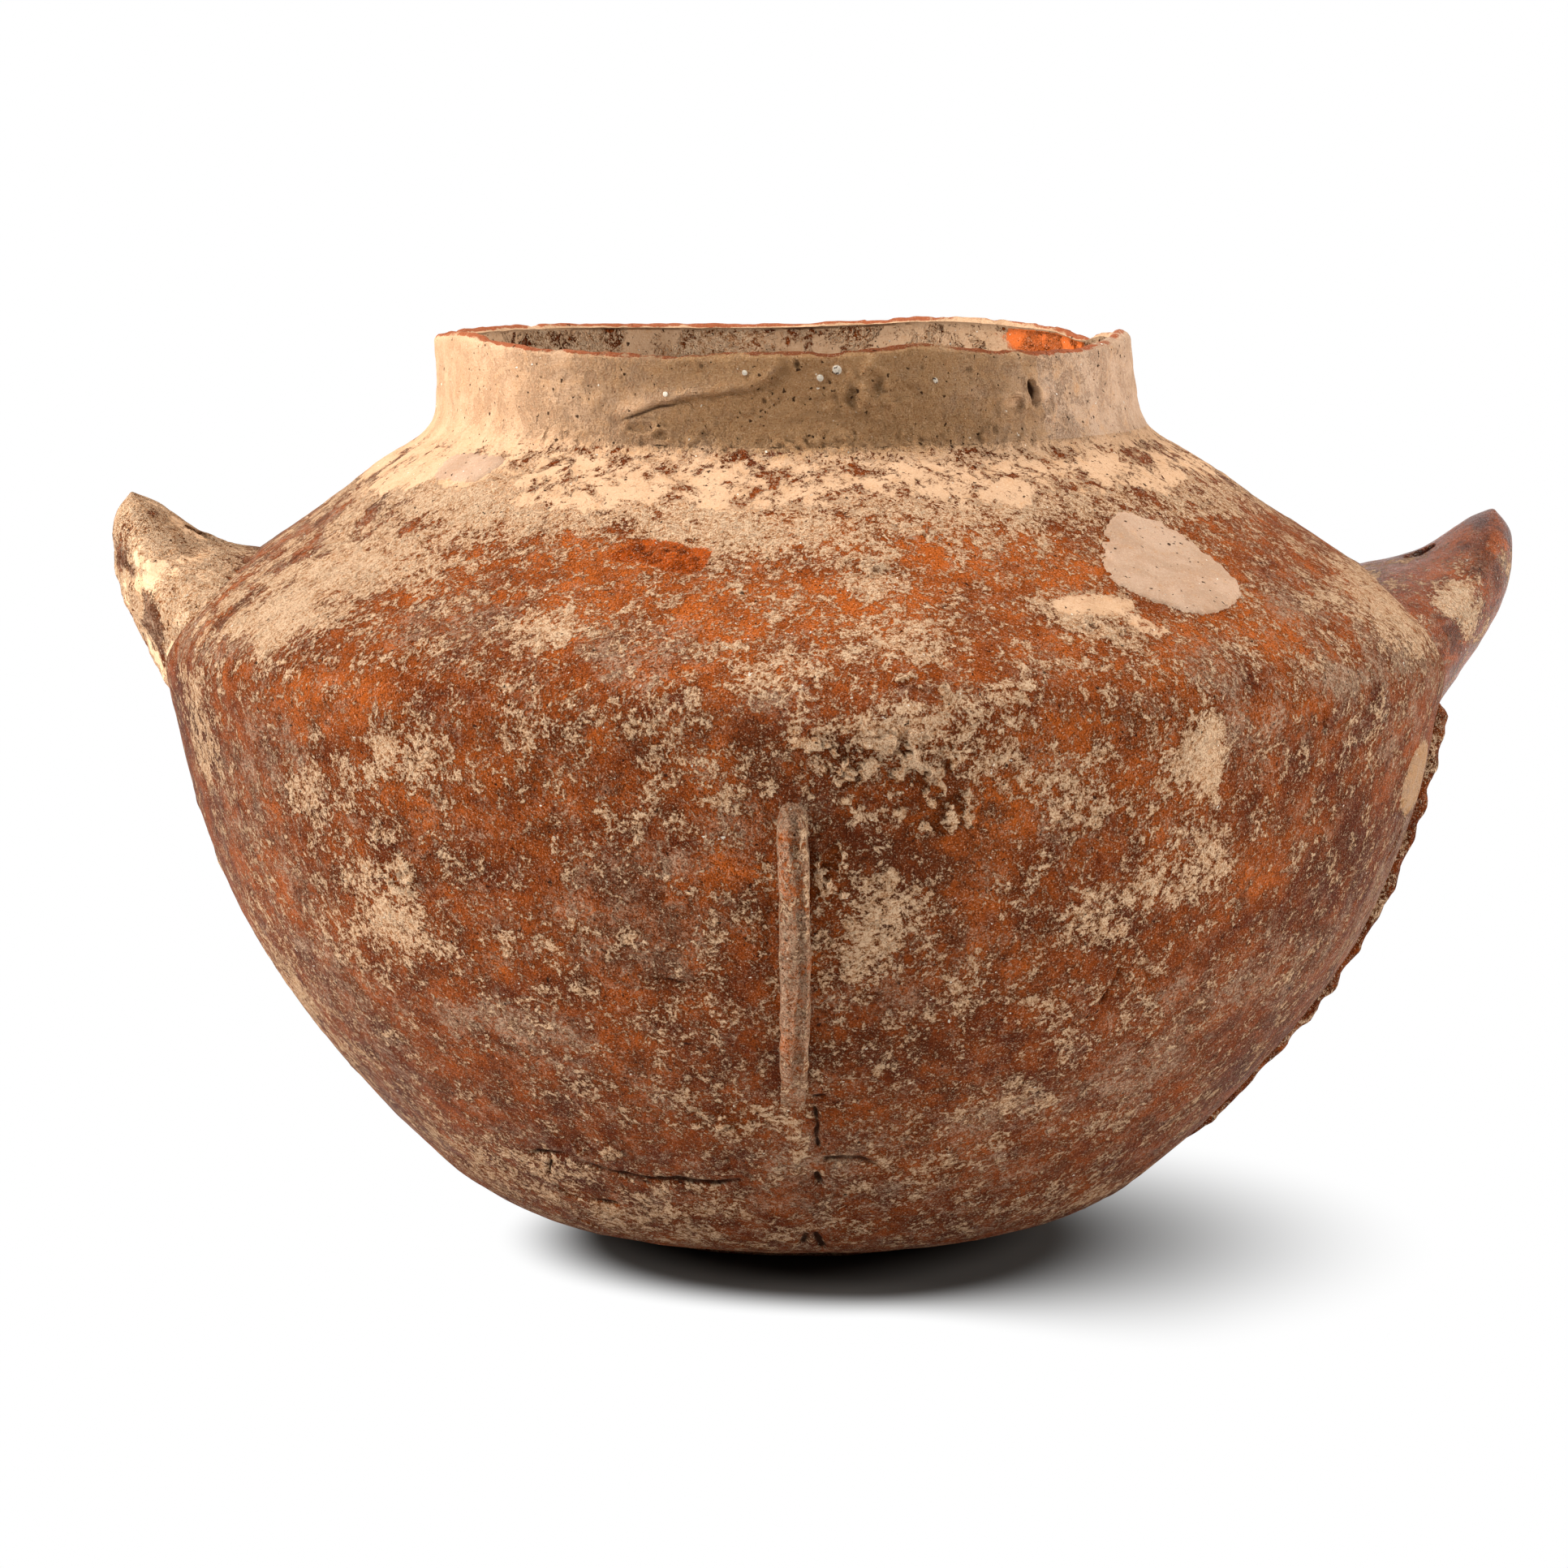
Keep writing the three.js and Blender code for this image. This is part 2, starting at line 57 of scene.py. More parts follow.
def smooth_line(points, steps=40):
    """A smooth line through the points, closer to them where they are close together."""
    p = np.array(points, float)
    p = np.vstack([2 * p[0] - p[1], p, 2 * p[-1] - p[-2]])
    line = []
    for a, b, c, d in zip(p, p[1:], p[2:], p[3:]):
        ab, bc, cd = (math.sqrt(np.linalg.norm(v - u)) for u, v in ((a, b), (b, c), (c, d)))
        start = ((b - a) / ab - (c - a) / (ab + bc) + (c - b) / bc) * bc
        end = ((c - b) / bc - (d - b) / (bc + cd) + (d - c) / cd) * bc
        t = np.linspace(0, 1, steps, endpoint=False)[:, None]
        line.append(b + t * start + t * t * (3 * (c - b) - 2 * start - end)
                    + t ** 3 * (2 * (b - c) + start + end))
    return np.vstack(line + [p[-2:-1]])


outer_line = smooth_line(OUTLINE)
along = np.gradient(outer_line, axis=0)
along /= np.linalg.norm(along, axis=1)[:, None]
thick = np.interp(outer_line[:, 1], WALL_HEIGHTS, WALL_THICKNESS)[:, None]
inner_line = outer_line + thick * np.column_stack([-along[:, 1], along[:, 0]])


def stretch(line, low, high, step):
    """Evenly spaced points of a line from one height to another."""
    radius = np.interp([low, high], line[:, 1], line[:, 0])
    inside = line[(line[:, 1] > min(low, high) + 0.01) & (line[:, 1] < max(low, high) - 0.01)]
    inside = inside if high > low else inside[::-1]
    path = np.vstack([[radius[0], low], inside, [radius[1], high]])
    run = np.concatenate([[0], np.cumsum(np.linalg.norm(np.diff(path, axis=0), axis=1))])
    count = max(2, round(run[-1] / step) + 1)
    at = np.linspace(0, run[-1], count)
    return np.column_stack([np.interp(at, run, path[:, 0]), np.interp(at, run, path[:, 1])])


TURNED = np.array([[0.36, 0.48, -0.8], [-0.8, 0.6, 0.0], [0.48, 0.64, 0.6]])


def lumps(points, size, seed, octaves=1):
    """Soft random lumps of about that size in mm, from -1 to 1."""
    total, weight, strength = np.zeros(len(points)), 0.0, 1.0
    place = points @ TURNED / size + 31.7 * seed
    for _ in range(octaves):
        cell = np.floor(place).astype(np.int64)
        ease = place - cell
        ease = ease * ease * (3 - 2 * ease)
        for corner in itertools.product((0, 1), repeat=3):
            code = (cell + corner) @ np.array([73856093, 19349663, 83492791]) + seed * 2654435761
            code = (code ^ (code >> 15)) * 2246822519 & 0xFFFFFFFF
            code = (code ^ (code >> 13)) * 3266489917 & 0xFFFFFFFF
            share = np.prod(np.where(corner, ease, 1 - ease), axis=1)
            total += strength * share * ((code >> 8 & 0xFFFF) / 32767.5 - 1)
        weight += strength
        strength *= 0.55
        place = place @ TURNED * 1.93 + 7.3
    return 1.25 * total / weight


def eased(value, low, high):
    """0 below low, 1 above high, and a soft step between them."""
    share = np.clip((value - low) / (high - low), 0, 1)
    return share * share * (3 - 2 * share)


def bell(value, middle, width):
    """1 in the middle, and a soft fall to 0 on both sides."""
    return np.exp(-((value - middle) / width) ** 2)


def degrees_from(at, azimuth):
    """From one azimuth to another, the short way round."""
    return (azimuth - at + 180) % 360 - 180


def lip_rise(azimuth):
    return sum(rise * bell(degrees_from(at, azimuth), 0, spread) for at, rise, spread in LIP_SWELLS)


def drift(height):
    """How far to the side the jar's middle lies at each height, in mm."""
    above = np.maximum((height - FOLD_TOP) / (LIP_TOP - FOLD_TOP), 0)
    below = np.maximum(1 - height / HIP_HEIGHT, 0)
    return NECK_DRIFT * above + FOOT_DRIFT * below


def off_round(turn):
    """How far the jar stands off a true circle, in mm, by the turn from the front in radians."""
    return 0.8 * np.sin(2 * turn) + 0.35 * np.sin(6 * turn)


def hand_built(p):
    """Moves points of a true turned shape, in mm, to where the potter's hands left it."""
    turn = np.arctan2(p[:, 0], -p[:, 1])
    radius = np.hypot(p[:, 0], p[:, 1])
    bulge = off_round(turn) * np.minimum(radius / FOOT_RADIUS, 1)
    scale = (radius + bulge) / np.maximum(radius, 1e-6)
    share = np.clip((p[:, 2] - COIL_TOP) / (LIP_TOP - COIL_TOP), 0, 1)
    return np.column_stack([
        p[:, 0] * scale + drift(p[:, 2]),
        p[:, 1] * scale,
        p[:, 2] + lip_rise(np.degrees(turn)) * share,
    ])


LAYERS = ("lime", "film", "glow", "brown", "paste", "olive", "worn", "crack", "grit", "bare")
# Marks of the surface, by azimuth from the front, height, half width in degrees, half height in mm and amount
LIME = [(-58, 149, 15, 8, .75), (-49, 166, 13, 4, .9), (-58, 140, 7, 6, .8), (-39, 161, 11, 4, .35),
        (-24, 143, 3, 4, .7), (-35, 118, 4, 9, .45), (-38, 116, 2, 5, .5), (-40, 91, 4, 8, .8),
        (-47, 109, 5, 7, .35), (-46, 78, 8, 8, .35), (-37, 79, 6, 7, .25), (-11, 160, 6, 4, .55),
        (-4, 157, 5, 4, .5), (-23, 168, 7, 3, .35), (6, 154, 5, 5, .5), (9, 142, 6, 5, .35),
        (-3, 136, 4, 4, .35), (28, 146, 5, 3, .7), (29, 141, 2, 3, .55), (15, 132, 5, 3, .45),
        (7, 120, 6, 10, .7), (4, 126, 4, 3, .5), (35, 118, 1.3, 12, .9), (33, 118, 3, 10, .4),
        (5, 85, 4, 14, .55), (16, 121, 4, 10, .3), (24, 111, 6, 10, .3), (35, 95, 5, 8, .55),
        (26, 86, 5, 7, .4), (14, 71, 5, 7, .25), (24, 66, 4, 6, .25), (-8, 43, 5, 4, .6),
        (-27, 18, 24, 8, .3), (-50, 24, 14, 9, .35), (-1, 38, 2, 10, .6), (21, 45, 6, 4, .35),
        (14, 31, 9, 6, .35), (52, 15, 18, 5, .25), (-8, 116, 3, 6, .3), (-13, 109, 2, 5, .25),
        (60, 143, 6, 3, .35), (76, 143, 12, 6, .6), (68, 136, 8, 7, .5), (-44, 154, 8, 5, .35),
        (-23, 124, 4, 5, .3), (-15, 127, 5, 4, .25), (-72, 54, 10, 15, .5), (-66, 72, 6, 13, .3),
        (-68, 115, 5, 16, .5), (140, 145, 12, 9, .6), (165, 95, 9, 12, .6), (-120, 140, 14, 8, .7),
        (-150, 80, 8, 14, .5), (-105, 70, 8, 10, .4), (120, 60, 10, 12, .5)]
FILM = [(-33, 144, 8, 7, .5), (-17, 140, 4, 6, .6), (-10, 140, 4, 5, .4), (-3, 132, 3, 4, .5),
        (-33, 63, 6, 5, .8), (-25, 58, 6, 6, .5), (-6, 110, 3, 8, .4), (-14, 83, 7, 10, .55),
        (-16, 96, 5, 7, .4), (8, 76, 6, 10, .4), (22, 44, 6, 5, .6), (38, 48, 9, 8, .4),
        (40, 122, 6, 8, .4), (52, 131, 5, 4, .9), (55, 144, 8, 6, .45), (36, 135, 5, 5, .4),
        (21, 109, 4, 8, .3), (-53, 114, 7, 9, .35), (-60, 98, 9, 11, .4), (-55, 58, 10, 11, .3),
        (-31, 104, 3, 5, .2), (56, 70, 10, 13, .4), (66, 133, 8, 7, .8), (62, 120, 9, 12, .35),
        (74, 80, 6, 25, .5), (43, 62, 8, 10, .35), (1, 32, 6, 6, .5), (-54, 71, 7, 12, .35),
        (13, 132, 3, 4, .35), (-26, 85, 5, 7, .25), (26, 128, 4, 3, .3), (110, 100, 14, 20, .4),
        (150, 60, 12, 14, .5), (-130, 100, 14, 16, .5), (-160, 140, 12, 10, .5)]
GLOW = [(-26, 158, 3, 6, .9), (-22, 145, 4, 4, .9), (-34, 152, 6, 7, .2), (-40, 148, 2, 1, .8),
        (2, 162, 6, 3, .6), (6, 148, 7, 4, .9), (18, 159, 6, 4, .7), (27, 154, 5, 7, .8),
        (21, 139, 4, 4, .5), (34, 138, 7, 5, .4), (46, 141, 6, 6, .35), (-8, 143, 4, 5, .5),
        (-49, 125, 9, 5, .5), (-42, 130, 6, 4, .4), (44, 94, 6, 9, .45), (22, 125, 3, 4, .35),
        (15, 108, 4, 7, .35), (-35, 105, 4, 7, .3), (-59, 85, 9, 12, .35), (-24, 120, 2, 3, .2),
        (43, 125, 6, 5, .35), (-9, 88, 1, 13, .2), (-21, 155, 7, 4, .5), (-3, 150, 6, 6, .45),
        (130, 150, 12, 8, .7), (175, 150, 14, 8, .6), (-140, 150, 10, 7, .6), (100, 120, 10, 8, .4),
        (-170, 110, 12, 14, .4)]
BROWN = [(-60, 129, 8, 3, .4), (-19, 128, 8, 3, .55), (-6, 126, 6, 5, .4), (-2, 116, 3, 8, .35),
         (-14, 85, 8, 12, .55), (9, 100, 6, 10, .45), (7, 85, 6, 14, .4), (7, 61, 10, 9, .35),
         (25, 128, 4, 3, .5), (0, 126, 3, 3, .3), (-10, 59, 10, 11, .25), (-32, 46, 16, 12, .25),
         (23, 78, 10, 14, .3), (56, 93, 7, 17, .4), (62, 50, 13, 16, .35), (-54, 144, 8, 2, .2),
         (-16, 145, 2, 2, .3), (2, 103, 2, 11, .5), (170, 70, 14, 14, .5), (-145, 120, 12, 6, .4),
         (120, 90, 10, 14, .4)]
BARE = [(-16, 156.8, 4.4, 2.2, 1.3), (-12, 155.4, 2.8, 2.2, 1.1)]
SMEARS = [(29, 147, 6, 2.2, .9), (33, 142.5, 2.6, 3, .6), (35, 117, 1.0, 11, .5), (69, 116, 1.6, 6, .5)]
FLAKES = [(7, 117, 5, 8, 1), (3, 124, 4, 3, .7), (12, 108, 3, 5, .5), (7, 154, 3, 2.5, .45),
          (14, 160, 4, 3, .35), (28, 143, 2, 2, .8), (10, 134, 4, 3, .4), (2, 96, 2, 10, .4),
          (-38, 92, 3, 5, .4), (-9, 43, 4, 3, .5), (-26, 33, 8, 3, .3)]

# Cracks and gouges, each by half width and depth in mm and a line of azimuths and heights
SCORES = [
    (0.7, 1.2, [(-37, 30), (-34.5, 31), (-31.4, 31.3), (-28.5, 29.2), (-26, 27.6), (-22.6, 26.9),
                (-19.6, 26.2)]),
    (0.85, 1.3, [(-19, 26.2), (-16.5, 26.8), (-14.8, 26.5), (-11.5, 26.2), (-8.2, 27.2)]),
    (0.5, 0.8, [(-27.1, 29.3), (-23.8, 26.4), (-20.5, 25.2)]),
    (0.5, 0.9, [(-34.6, 28.6), (-36.6, 25.4)]),
    (0.5, 0.9, [(-37, 22.4), (-36.3, 20.2), (-32.5, 18.9), (-28.1, 19)]),
    (0.55, 0.9, [(-39.4, 12.6), (-36.8, 10.8)]),
    (0.6, 1.2, [(1.4, 45.9), (1.8, 42), (1.6, 39.5), (1.9, 37.1)]),
    (0.9, 1.4, [(2.2, 29.4), (2.4, 27)]),
    (0.6, 0.9, [(1, 48.8), (2.3, 48.8)]),
    (0.9, 1.0, [(3, 33.4), (5, 33.9), (6.9, 33.8), (9.3, 31.9)]),
    (0.7, 1.0, [(-9, 32.7), (-9, 30.6)]),
    (0.9, 1.1, [(2.6, 12.9), (4.2, 8.6)]),
    (0.9, 1.1, [(1.4, 12.4), (0.8, 9.6)]),
    (0.5, 0.4, [(-3.1, 101), (-3.2, 84), (-3.0, 70)]),
    (0.5, 0.8, [(-13.5, 74.5), (-11.5, 73.4), (-9.5, 74.2), (-8.5, 75.2)]),
    (0.7, 0.45, [(29.1, 80.7), (34, 71)]),
    (0.5, 0.8, [(29.9, 74.8), (28.8, 67)]),
    (0.5, 0.4, [(30.6, 65.7), (34.7, 68.9)]),
    (0.7, 0.45, [(39.7, 60.5), (44.2, 55.4)]),
    (0.4, 0.9, [(47.9, 128), (48.6, 123.5), (49.4, 119)]),
    (0.6, 1.0, [(72.5, 96), (71.5, 91), (70, 87)]),
    (0.8, 1.0, [(-44.4, 155.3), (-43.9, 152.8)]),
]


def marked(marks, azimuth, height):
    """How strongly a list of marks shows at each point."""
    total = np.zeros(len(azimuth))
    for at, level, wide, tall, amount in marks:
        across = degrees_from(at, azimuth) / wide
        total += amount * np.exp(-(across ** 2 + ((height - level) / tall) ** 2) ** 1.4)
    return total


def turned_place(p):
    """Azimuth from the front in degrees, and height, of points in mm."""
    return np.degrees(np.arctan2(p[:, 0] - drift(p[:, 2]), -p[:, 1])), p[:, 2]


def surface_story(p, outside):
    """Where lime, film, bare slip, stain, paste and worn edges lie on the jar, for points in mm."""
    azimuth, height = turned_place(p)
    spread = azimuth + 2.6 * lumps(p, 12, 3, 4)
    level = height + 3.4 * lumps(p, 11, 4, 4)
    streaks = lumps(np.column_stack([azimuth * 1.9, height * 0, height * 0.22]) + p * 0.05, 6, 5, 3)
    islands = lumps(p, 6, 27, 3)
    left = eased(-spread, 40, 62) * eased(level, 126, 136) * (1 - 0.7 * eased(-spread, 105, 140))
    lime = 0.34 + 0.11 * eased(level, 128, 138) + marked(LIME, spread, level)
    lime += 0.04 * (1 - eased(level, 8, 34)) + left * (0.5 * streaks + 1.0 * islands + 0.18)
    lime += 0.45 * eased(level, 156, 163)
    film = 0.23 + marked(FILM, spread, level) + 0.2 * (1 - eased(level, 20, 70)) + 0.5 * left
    glow = 0.24 + marked(GLOW, spread, level) + 0.32 * eased(level, 129, 140) * (1 - eased(level, 156, 163))
    brown = 0.18 + marked(BROWN, spread, level) + 0.34 * (1 - eased(level, 122, 131))
    brown += 0.05 * (1 - eased(level, 10, 52))
    brown += left * (0.7 * np.maximum(-streaks, 0) + 0.6 * np.maximum(-islands, 0))
    paste = 0.62 * eased(level, 161, 167) + 0.5 * eased(height, 172.5, 177) + marked(SMEARS, azimuth, height)
    paste += left * (0.15 + 0.3 * streaks + 0.25 * islands)
    paste -= 0.2 * bell(height, 174.5, 2.2) * (1 - eased(np.abs(azimuth), 40, 55))
    olive = eased(height, 172, 178) * bell(azimuth, 6, 32)
    inside = 1 - outside
    top_gap = LIP_TOP + lip_rise(azimuth) - height
    worn = (1 - eased(top_gap + 0.7 * lumps(p, 5, 7, 3), 0.35, 1.3)) * (0.95 + 0.45 * lumps(p, 14, 8))
    patch = np.exp(-(((azimuth - 122) / 15) ** 2 + ((height - 191) / 4.5) ** 2) ** 2) * inside
    worn = np.maximum(worn, 1.3 * patch)
    lime = lime * outside + inside * (0.7 + 0.3 * eased(height, 150, 185))
    glow = glow * outside + inside * 0.15 + 1.2 * patch
    brown = brown * outside + inside * (0.55 + 0.5 * lumps(p, 9, 6, 3))
    film = film * outside + inside * 0.3
    paste = paste * outside + inside * (0.55 + 0.55 * lumps(p, 9, 9, 3)) * eased(height, 172, 184)
    bare = marked(BARE, azimuth + 0.8 * lumps(p, 3, 25, 2), height + 0.8 * lumps(p, 3, 26, 2))
    layers = lime, film, glow, brown, paste, olive * outside, worn, 0 * lime, 0 * lime, bare * outside
    return dict(zip(LAYERS, layers))


def gap_to(line, azimuth, height):
    """Distance in mm from points to a line drawn on the surface by azimuths and heights."""
    wide = np.interp(height, outer_line[:, 1], outer_line[:, 0]) * math.pi / 180
    nearest = np.full(len(azimuth), 99.0)
    for (from_at, from_up), (to_at, to_up) in zip(line[:-1], line[1:]):
        run = (azimuth - from_at) * wide
        run_to = (to_at - from_at) * wide
        up, up_to = height - from_up, to_up - from_up
        share = np.clip((run * run_to + up * up_to) / (run_to ** 2 + up_to ** 2), 0, 1)
        nearest = np.minimum(nearest, np.hypot(run - share * run_to, up - share * up_to))
    return nearest


def scored(p, story):
    """Cracks and gouges: how deep they are in mm, while the painted shade in them goes into the story."""
    azimuth, height = turned_place(p)
    azimuth = azimuth + 0.35 * lumps(p, 4, 17, 2)
    height = height + 0.5 * lumps(p, 4, 18, 2)
    depth = np.zeros(len(p))
    for width, deep, line in SCORES:
        gap = gap_to(line, azimuth, height)
        cut = bell(gap, 0, width) * (0.75 + 0.4 * lumps(p, 3.5, 19))
        depth = np.maximum(depth, deep * cut)
        # The painted shade of each crack, darker where it is deeper.
        dark = np.clip(cut * 1.25 - 0.15, 0, 1) * min(1, 0.1 + 0.8 * deep)
        story["crack"] = np.maximum(story["crack"], dark)
    return depth


CREASE_AT, CREASE_REACH, CREASE_HEIGHT = -4, 54, 175.6
SUNK, PROUD_LIMIT, HELD_BACK = 0.62, 0.25, 0.6


def relief(p, outside, story):
    """How far the surface stands off its smooth form, in mm, held back where it would stand proud of it."""
    azimuth, height = turned_place(p)
    soft = 0.38 * lumps(p, 34, 11) + 0.2 * lumps(p, 9, 12, 2)
    grain = 0.22 * lumps(p, 3.0, 13, 2) * eased(story["lime"] + 0.4 * lumps(p, 7, 14), 0.25, 0.8)
    flaky = np.clip(marked(FLAKES, azimuth, height), 0, 1)
    curls = lumps(p, 2.7, 16, 3)
    flakes = eased(curls + 0.25 * lumps(p, 1.3, 23, 2) + 0.2 * flaky, 0.2, 0.28) * eased(flaky, 0.1, 0.4)
    flakes = flakes * (0.75 + 0.5 * lumps(p, 2.2, 20, 2) - 0.5 * eased(curls, 0.4, 0.9))
    story["lime"] = story["lime"] + 1.3 * flakes - 0.7 * flaky
    story["brown"] = story["brown"] + 0.3 * flaky
    trace = bell(azimuth, -0.6, 0.5) * eased(height, 22, 34) * (1 - eased(height, 48, 52))
    crease = bell(height - CREASE_HEIGHT, 1.6 * lumps(p, 12, 83), 2.6)
    crease = crease * (1 - eased(np.abs(azimuth - CREASE_AT), 40, CREASE_REACH))
    crumbs = eased(lumps(p, 1.7, 84, 3), -0.05, 0.3)
    story["brown"] = story["brown"] + 0.2 * crease
    outer = soft + grain + 1.25 * flakes + 0.6 * crease * (crumbs - 0.4) + 0.5 * trace
    outer = outer - scored(p, story) - SUNK
    outer = outer - HELD_BACK * np.maximum(outer - PROUD_LIMIT, 0)
    return outer * outside + 0.3 * lumps(p, 20, 15, 2) * (1 - outside)


def in_edit(*steps):
    """Runs edit-mode steps on the active piece with all of it selected."""
    bpy.ops.object.mode_set(mode="EDIT")
    bpy.ops.mesh.select_mode(type="VERT")
    bpy.ops.mesh.select_all(action="SELECT")
    for step in steps:
        step()
    bpy.ops.object.mode_set(mode="OBJECT")


def applied(piece, kind, **settings):
    """Adds a modifier with these settings and applies it."""
    modifier = piece.modifiers.new(kind.lower(), kind)
    for key, value in settings.items():
        setattr(modifier, key, value)
    with bpy.context.temp_override(object=piece, active_object=piece, selected_objects=[piece]):
        bpy.ops.object.modifier_apply(modifier=modifier.name)


def started(name, add, **settings):
    """Adds a primitive with nothing else selected, and names it."""
    bpy.ops.object.select_all(action="DESELECT")
    add(**settings)
    piece = bpy.context.object
    piece.name = name
    piece.data.name = name
    return piece


def picked(piece):
    """Makes a piece the active one and the only one selected."""
    bpy.ops.object.select_all(action="DESELECT")
    piece.select_set(True)
    bpy.context.view_layer.objects.active = piece


def rows_of(parts, what):
    """A vector of each part of a mesh, such as the middle of each face."""
    flat = np.zeros(len(parts) * 3)
    parts.foreach_get(what, flat)
    return flat.reshape(-1, 3)


def points_of(piece):
    return rows_of(piece.data.vertices, "co") / MM


def put_points(piece, points):
    piece.data.vertices.foreach_set("co", (points * MM).ravel())
    piece.data.update()


def layer_of(piece, name, values=None):
    """Reads a layer of one number a point, or writes it."""
    layer = piece.data.attributes.get(name) or piece.data.attributes.new(name, "FLOAT", "POINT")
    if values is None:
        values = np.zeros(len(piece.data.vertices), np.float32)
        layer.data.foreach_get("value", values)
    else:
        layer.data.foreach_set("value", np.asarray(values, np.float32))
    return values


SAME_POINT = 2e-5


def spun(name, outside_points, inside_points, start=0.0, turn=360.0):
    """Spins a closed section round the jar's axis. The first points are the outside, the rest the inside."""
    section = np.vstack([outside_points, inside_points])
    piece = started(name, bpy.ops.mesh.primitive_circle_add,
                    vertices=len(section), radius=0.1, fill_type="NOTHING")
    angle = math.radians(start)
    put_points(piece, np.column_stack([
        section[:, 0] * math.sin(angle), -section[:, 0] * math.cos(angle), section[:, 1]]))
    steps = round(TURN_STEPS * turn / 360)
    applied(piece, "SCREW", angle=math.radians(turn), steps=steps, render_steps=steps, use_smooth_shade=True)
    outside = np.arange(len(section)) < len(outside_points)
    layer_of(piece, "outside", np.resize(outside, len(piece.data.vertices)))
    in_edit(
        lambda: bpy.ops.mesh.remove_doubles(threshold=SAME_POINT),
        lambda: bpy.ops.mesh.select_all(action="DESELECT"),
        lambda: bpy.ops.mesh.select_non_manifold(),
        lambda: bpy.ops.mesh.fill_holes(sides=0),
        lambda: bpy.ops.mesh.select_all(action="SELECT"),
        lambda: bpy.ops.mesh.normals_make_consistent(inside=False),
    )
    return piece


def outward_of(p):
    """Unit directions square to the smooth outer form at points in mm."""
    radius = np.hypot(p[:, 0], p[:, 1])
    rise = np.interp(p[:, 2], outer_line[:, 1], along[:, 0])
    run = np.interp(p[:, 2], outer_line[:, 1], along[:, 1])
    flat = np.column_stack([p[:, 0], p[:, 1]]) / np.maximum(radius, 1e-6)[:, None]
    under = (p[:, 2] < 0.01)[:, None]
    return np.where(under, [[0, 0, -1.0]], np.column_stack([flat * run[:, None], -rise]))


def refined(piece, where):
    """Divides the outer faces of a spun piece where a test of azimuth and height asks for it."""
    middle = rows_of(piece.data.polygons, "center") / MM
    azimuth = np.degrees(np.arctan2(middle[:, 0], -middle[:, 1]))
    inner = np.interp(middle[:, 2], inner_line[:, 1], inner_line[:, 0])
    outer = np.interp(middle[:, 2], outer_line[:, 1], outer_line[:, 0])
    chosen = where(azimuth, middle[:, 2]) & (np.hypot(middle[:, 0], middle[:, 1]) > (inner + outer) / 2)
    picked(piece)
    bpy.context.tool_settings.mesh_select_mode = (False, False, True)
    piece.data.vertices.foreach_set("select", np.zeros(len(piece.data.vertices), bool))
    piece.data.edges.foreach_set("select", np.zeros(len(piece.data.edges), bool))
    piece.data.polygons.foreach_set("select", chosen)
    bpy.ops.object.mode_set(mode="EDIT")
    bpy.ops.mesh.subdivide(number_cuts=1)
    bpy.ops.object.mode_set(mode="OBJECT")
    return piece


def near_scores(azimuth, height):
    """Where the mesh has to be finer: at flakes, cracks and the crease under the front of the collar."""
    near = (height > CREASE_HEIGHT - 4.1) & (np.abs(azimuth - CREASE_AT) < CREASE_REACH)
    near |= marked(FLAKES, azimuth, height) > 0.2
    for width, _, line in SCORES:
        near |= gap_to(line, azimuth, height) < width * 2.5 + 0.8
    return near


def shaped(piece, extra=None):
    """Gives a spun piece the potter's unevenness, its relief and its surface layers."""
    true = points_of(piece)
    outside = layer_of(piece, "outside")
    built = hand_built(true)
    story = surface_story(built, outside)
    height = relief(built, outside, story)
    if extra:
        height = height + extra(built, story) * outside
    height = height + 0.5 * outside * (1 - eased(true[:, 2], 0, 3))
    built = built + outward_of(true) * height[:, None]
    fold = bell(true[:, 2], FOLD_TOP + 1, 9)
    built[:, 2] += fold * (1.1 * lumps(built, 38, 93) + 0.5 * lumps(built, 13, 94))
    lip = eased(true[:, 2], LIP_TOP - 1.6, LIP_TOP - 0.2)
    chips = 0.25 + 0.3 * lumps(built, 3.2, 91, 2) + 0.35 * eased(lumps(built, 5, 92), 0.25, 0.5)
    built[:, 2] -= lip * chips
    on_floor = np.hypot(true[:, 0], true[:, 1]) < FOOT_RADIUS - 0.1
    built[:, 2] = np.maximum(built[:, 2], np.where(on_floor, 0, 0.02))
    put_points(piece, built)
    for name, values in story.items():
        layer_of(piece, name, values)
    return piece


SHARP_EDGE = 50


def finished(piece, material, slot, *nodes):
    """Smooths the shading, sets the material, puts the piece under the root body and hides the parts of
    model.glb it stands for.
    """
    picked(piece)
    bpy.ops.object.shade_smooth_by_angle(angle=math.radians(SHARP_EDGE))
    piece.data.materials.clear()
    piece.data.materials.append(material)
    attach(piece, "root")
    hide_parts(*nodes)


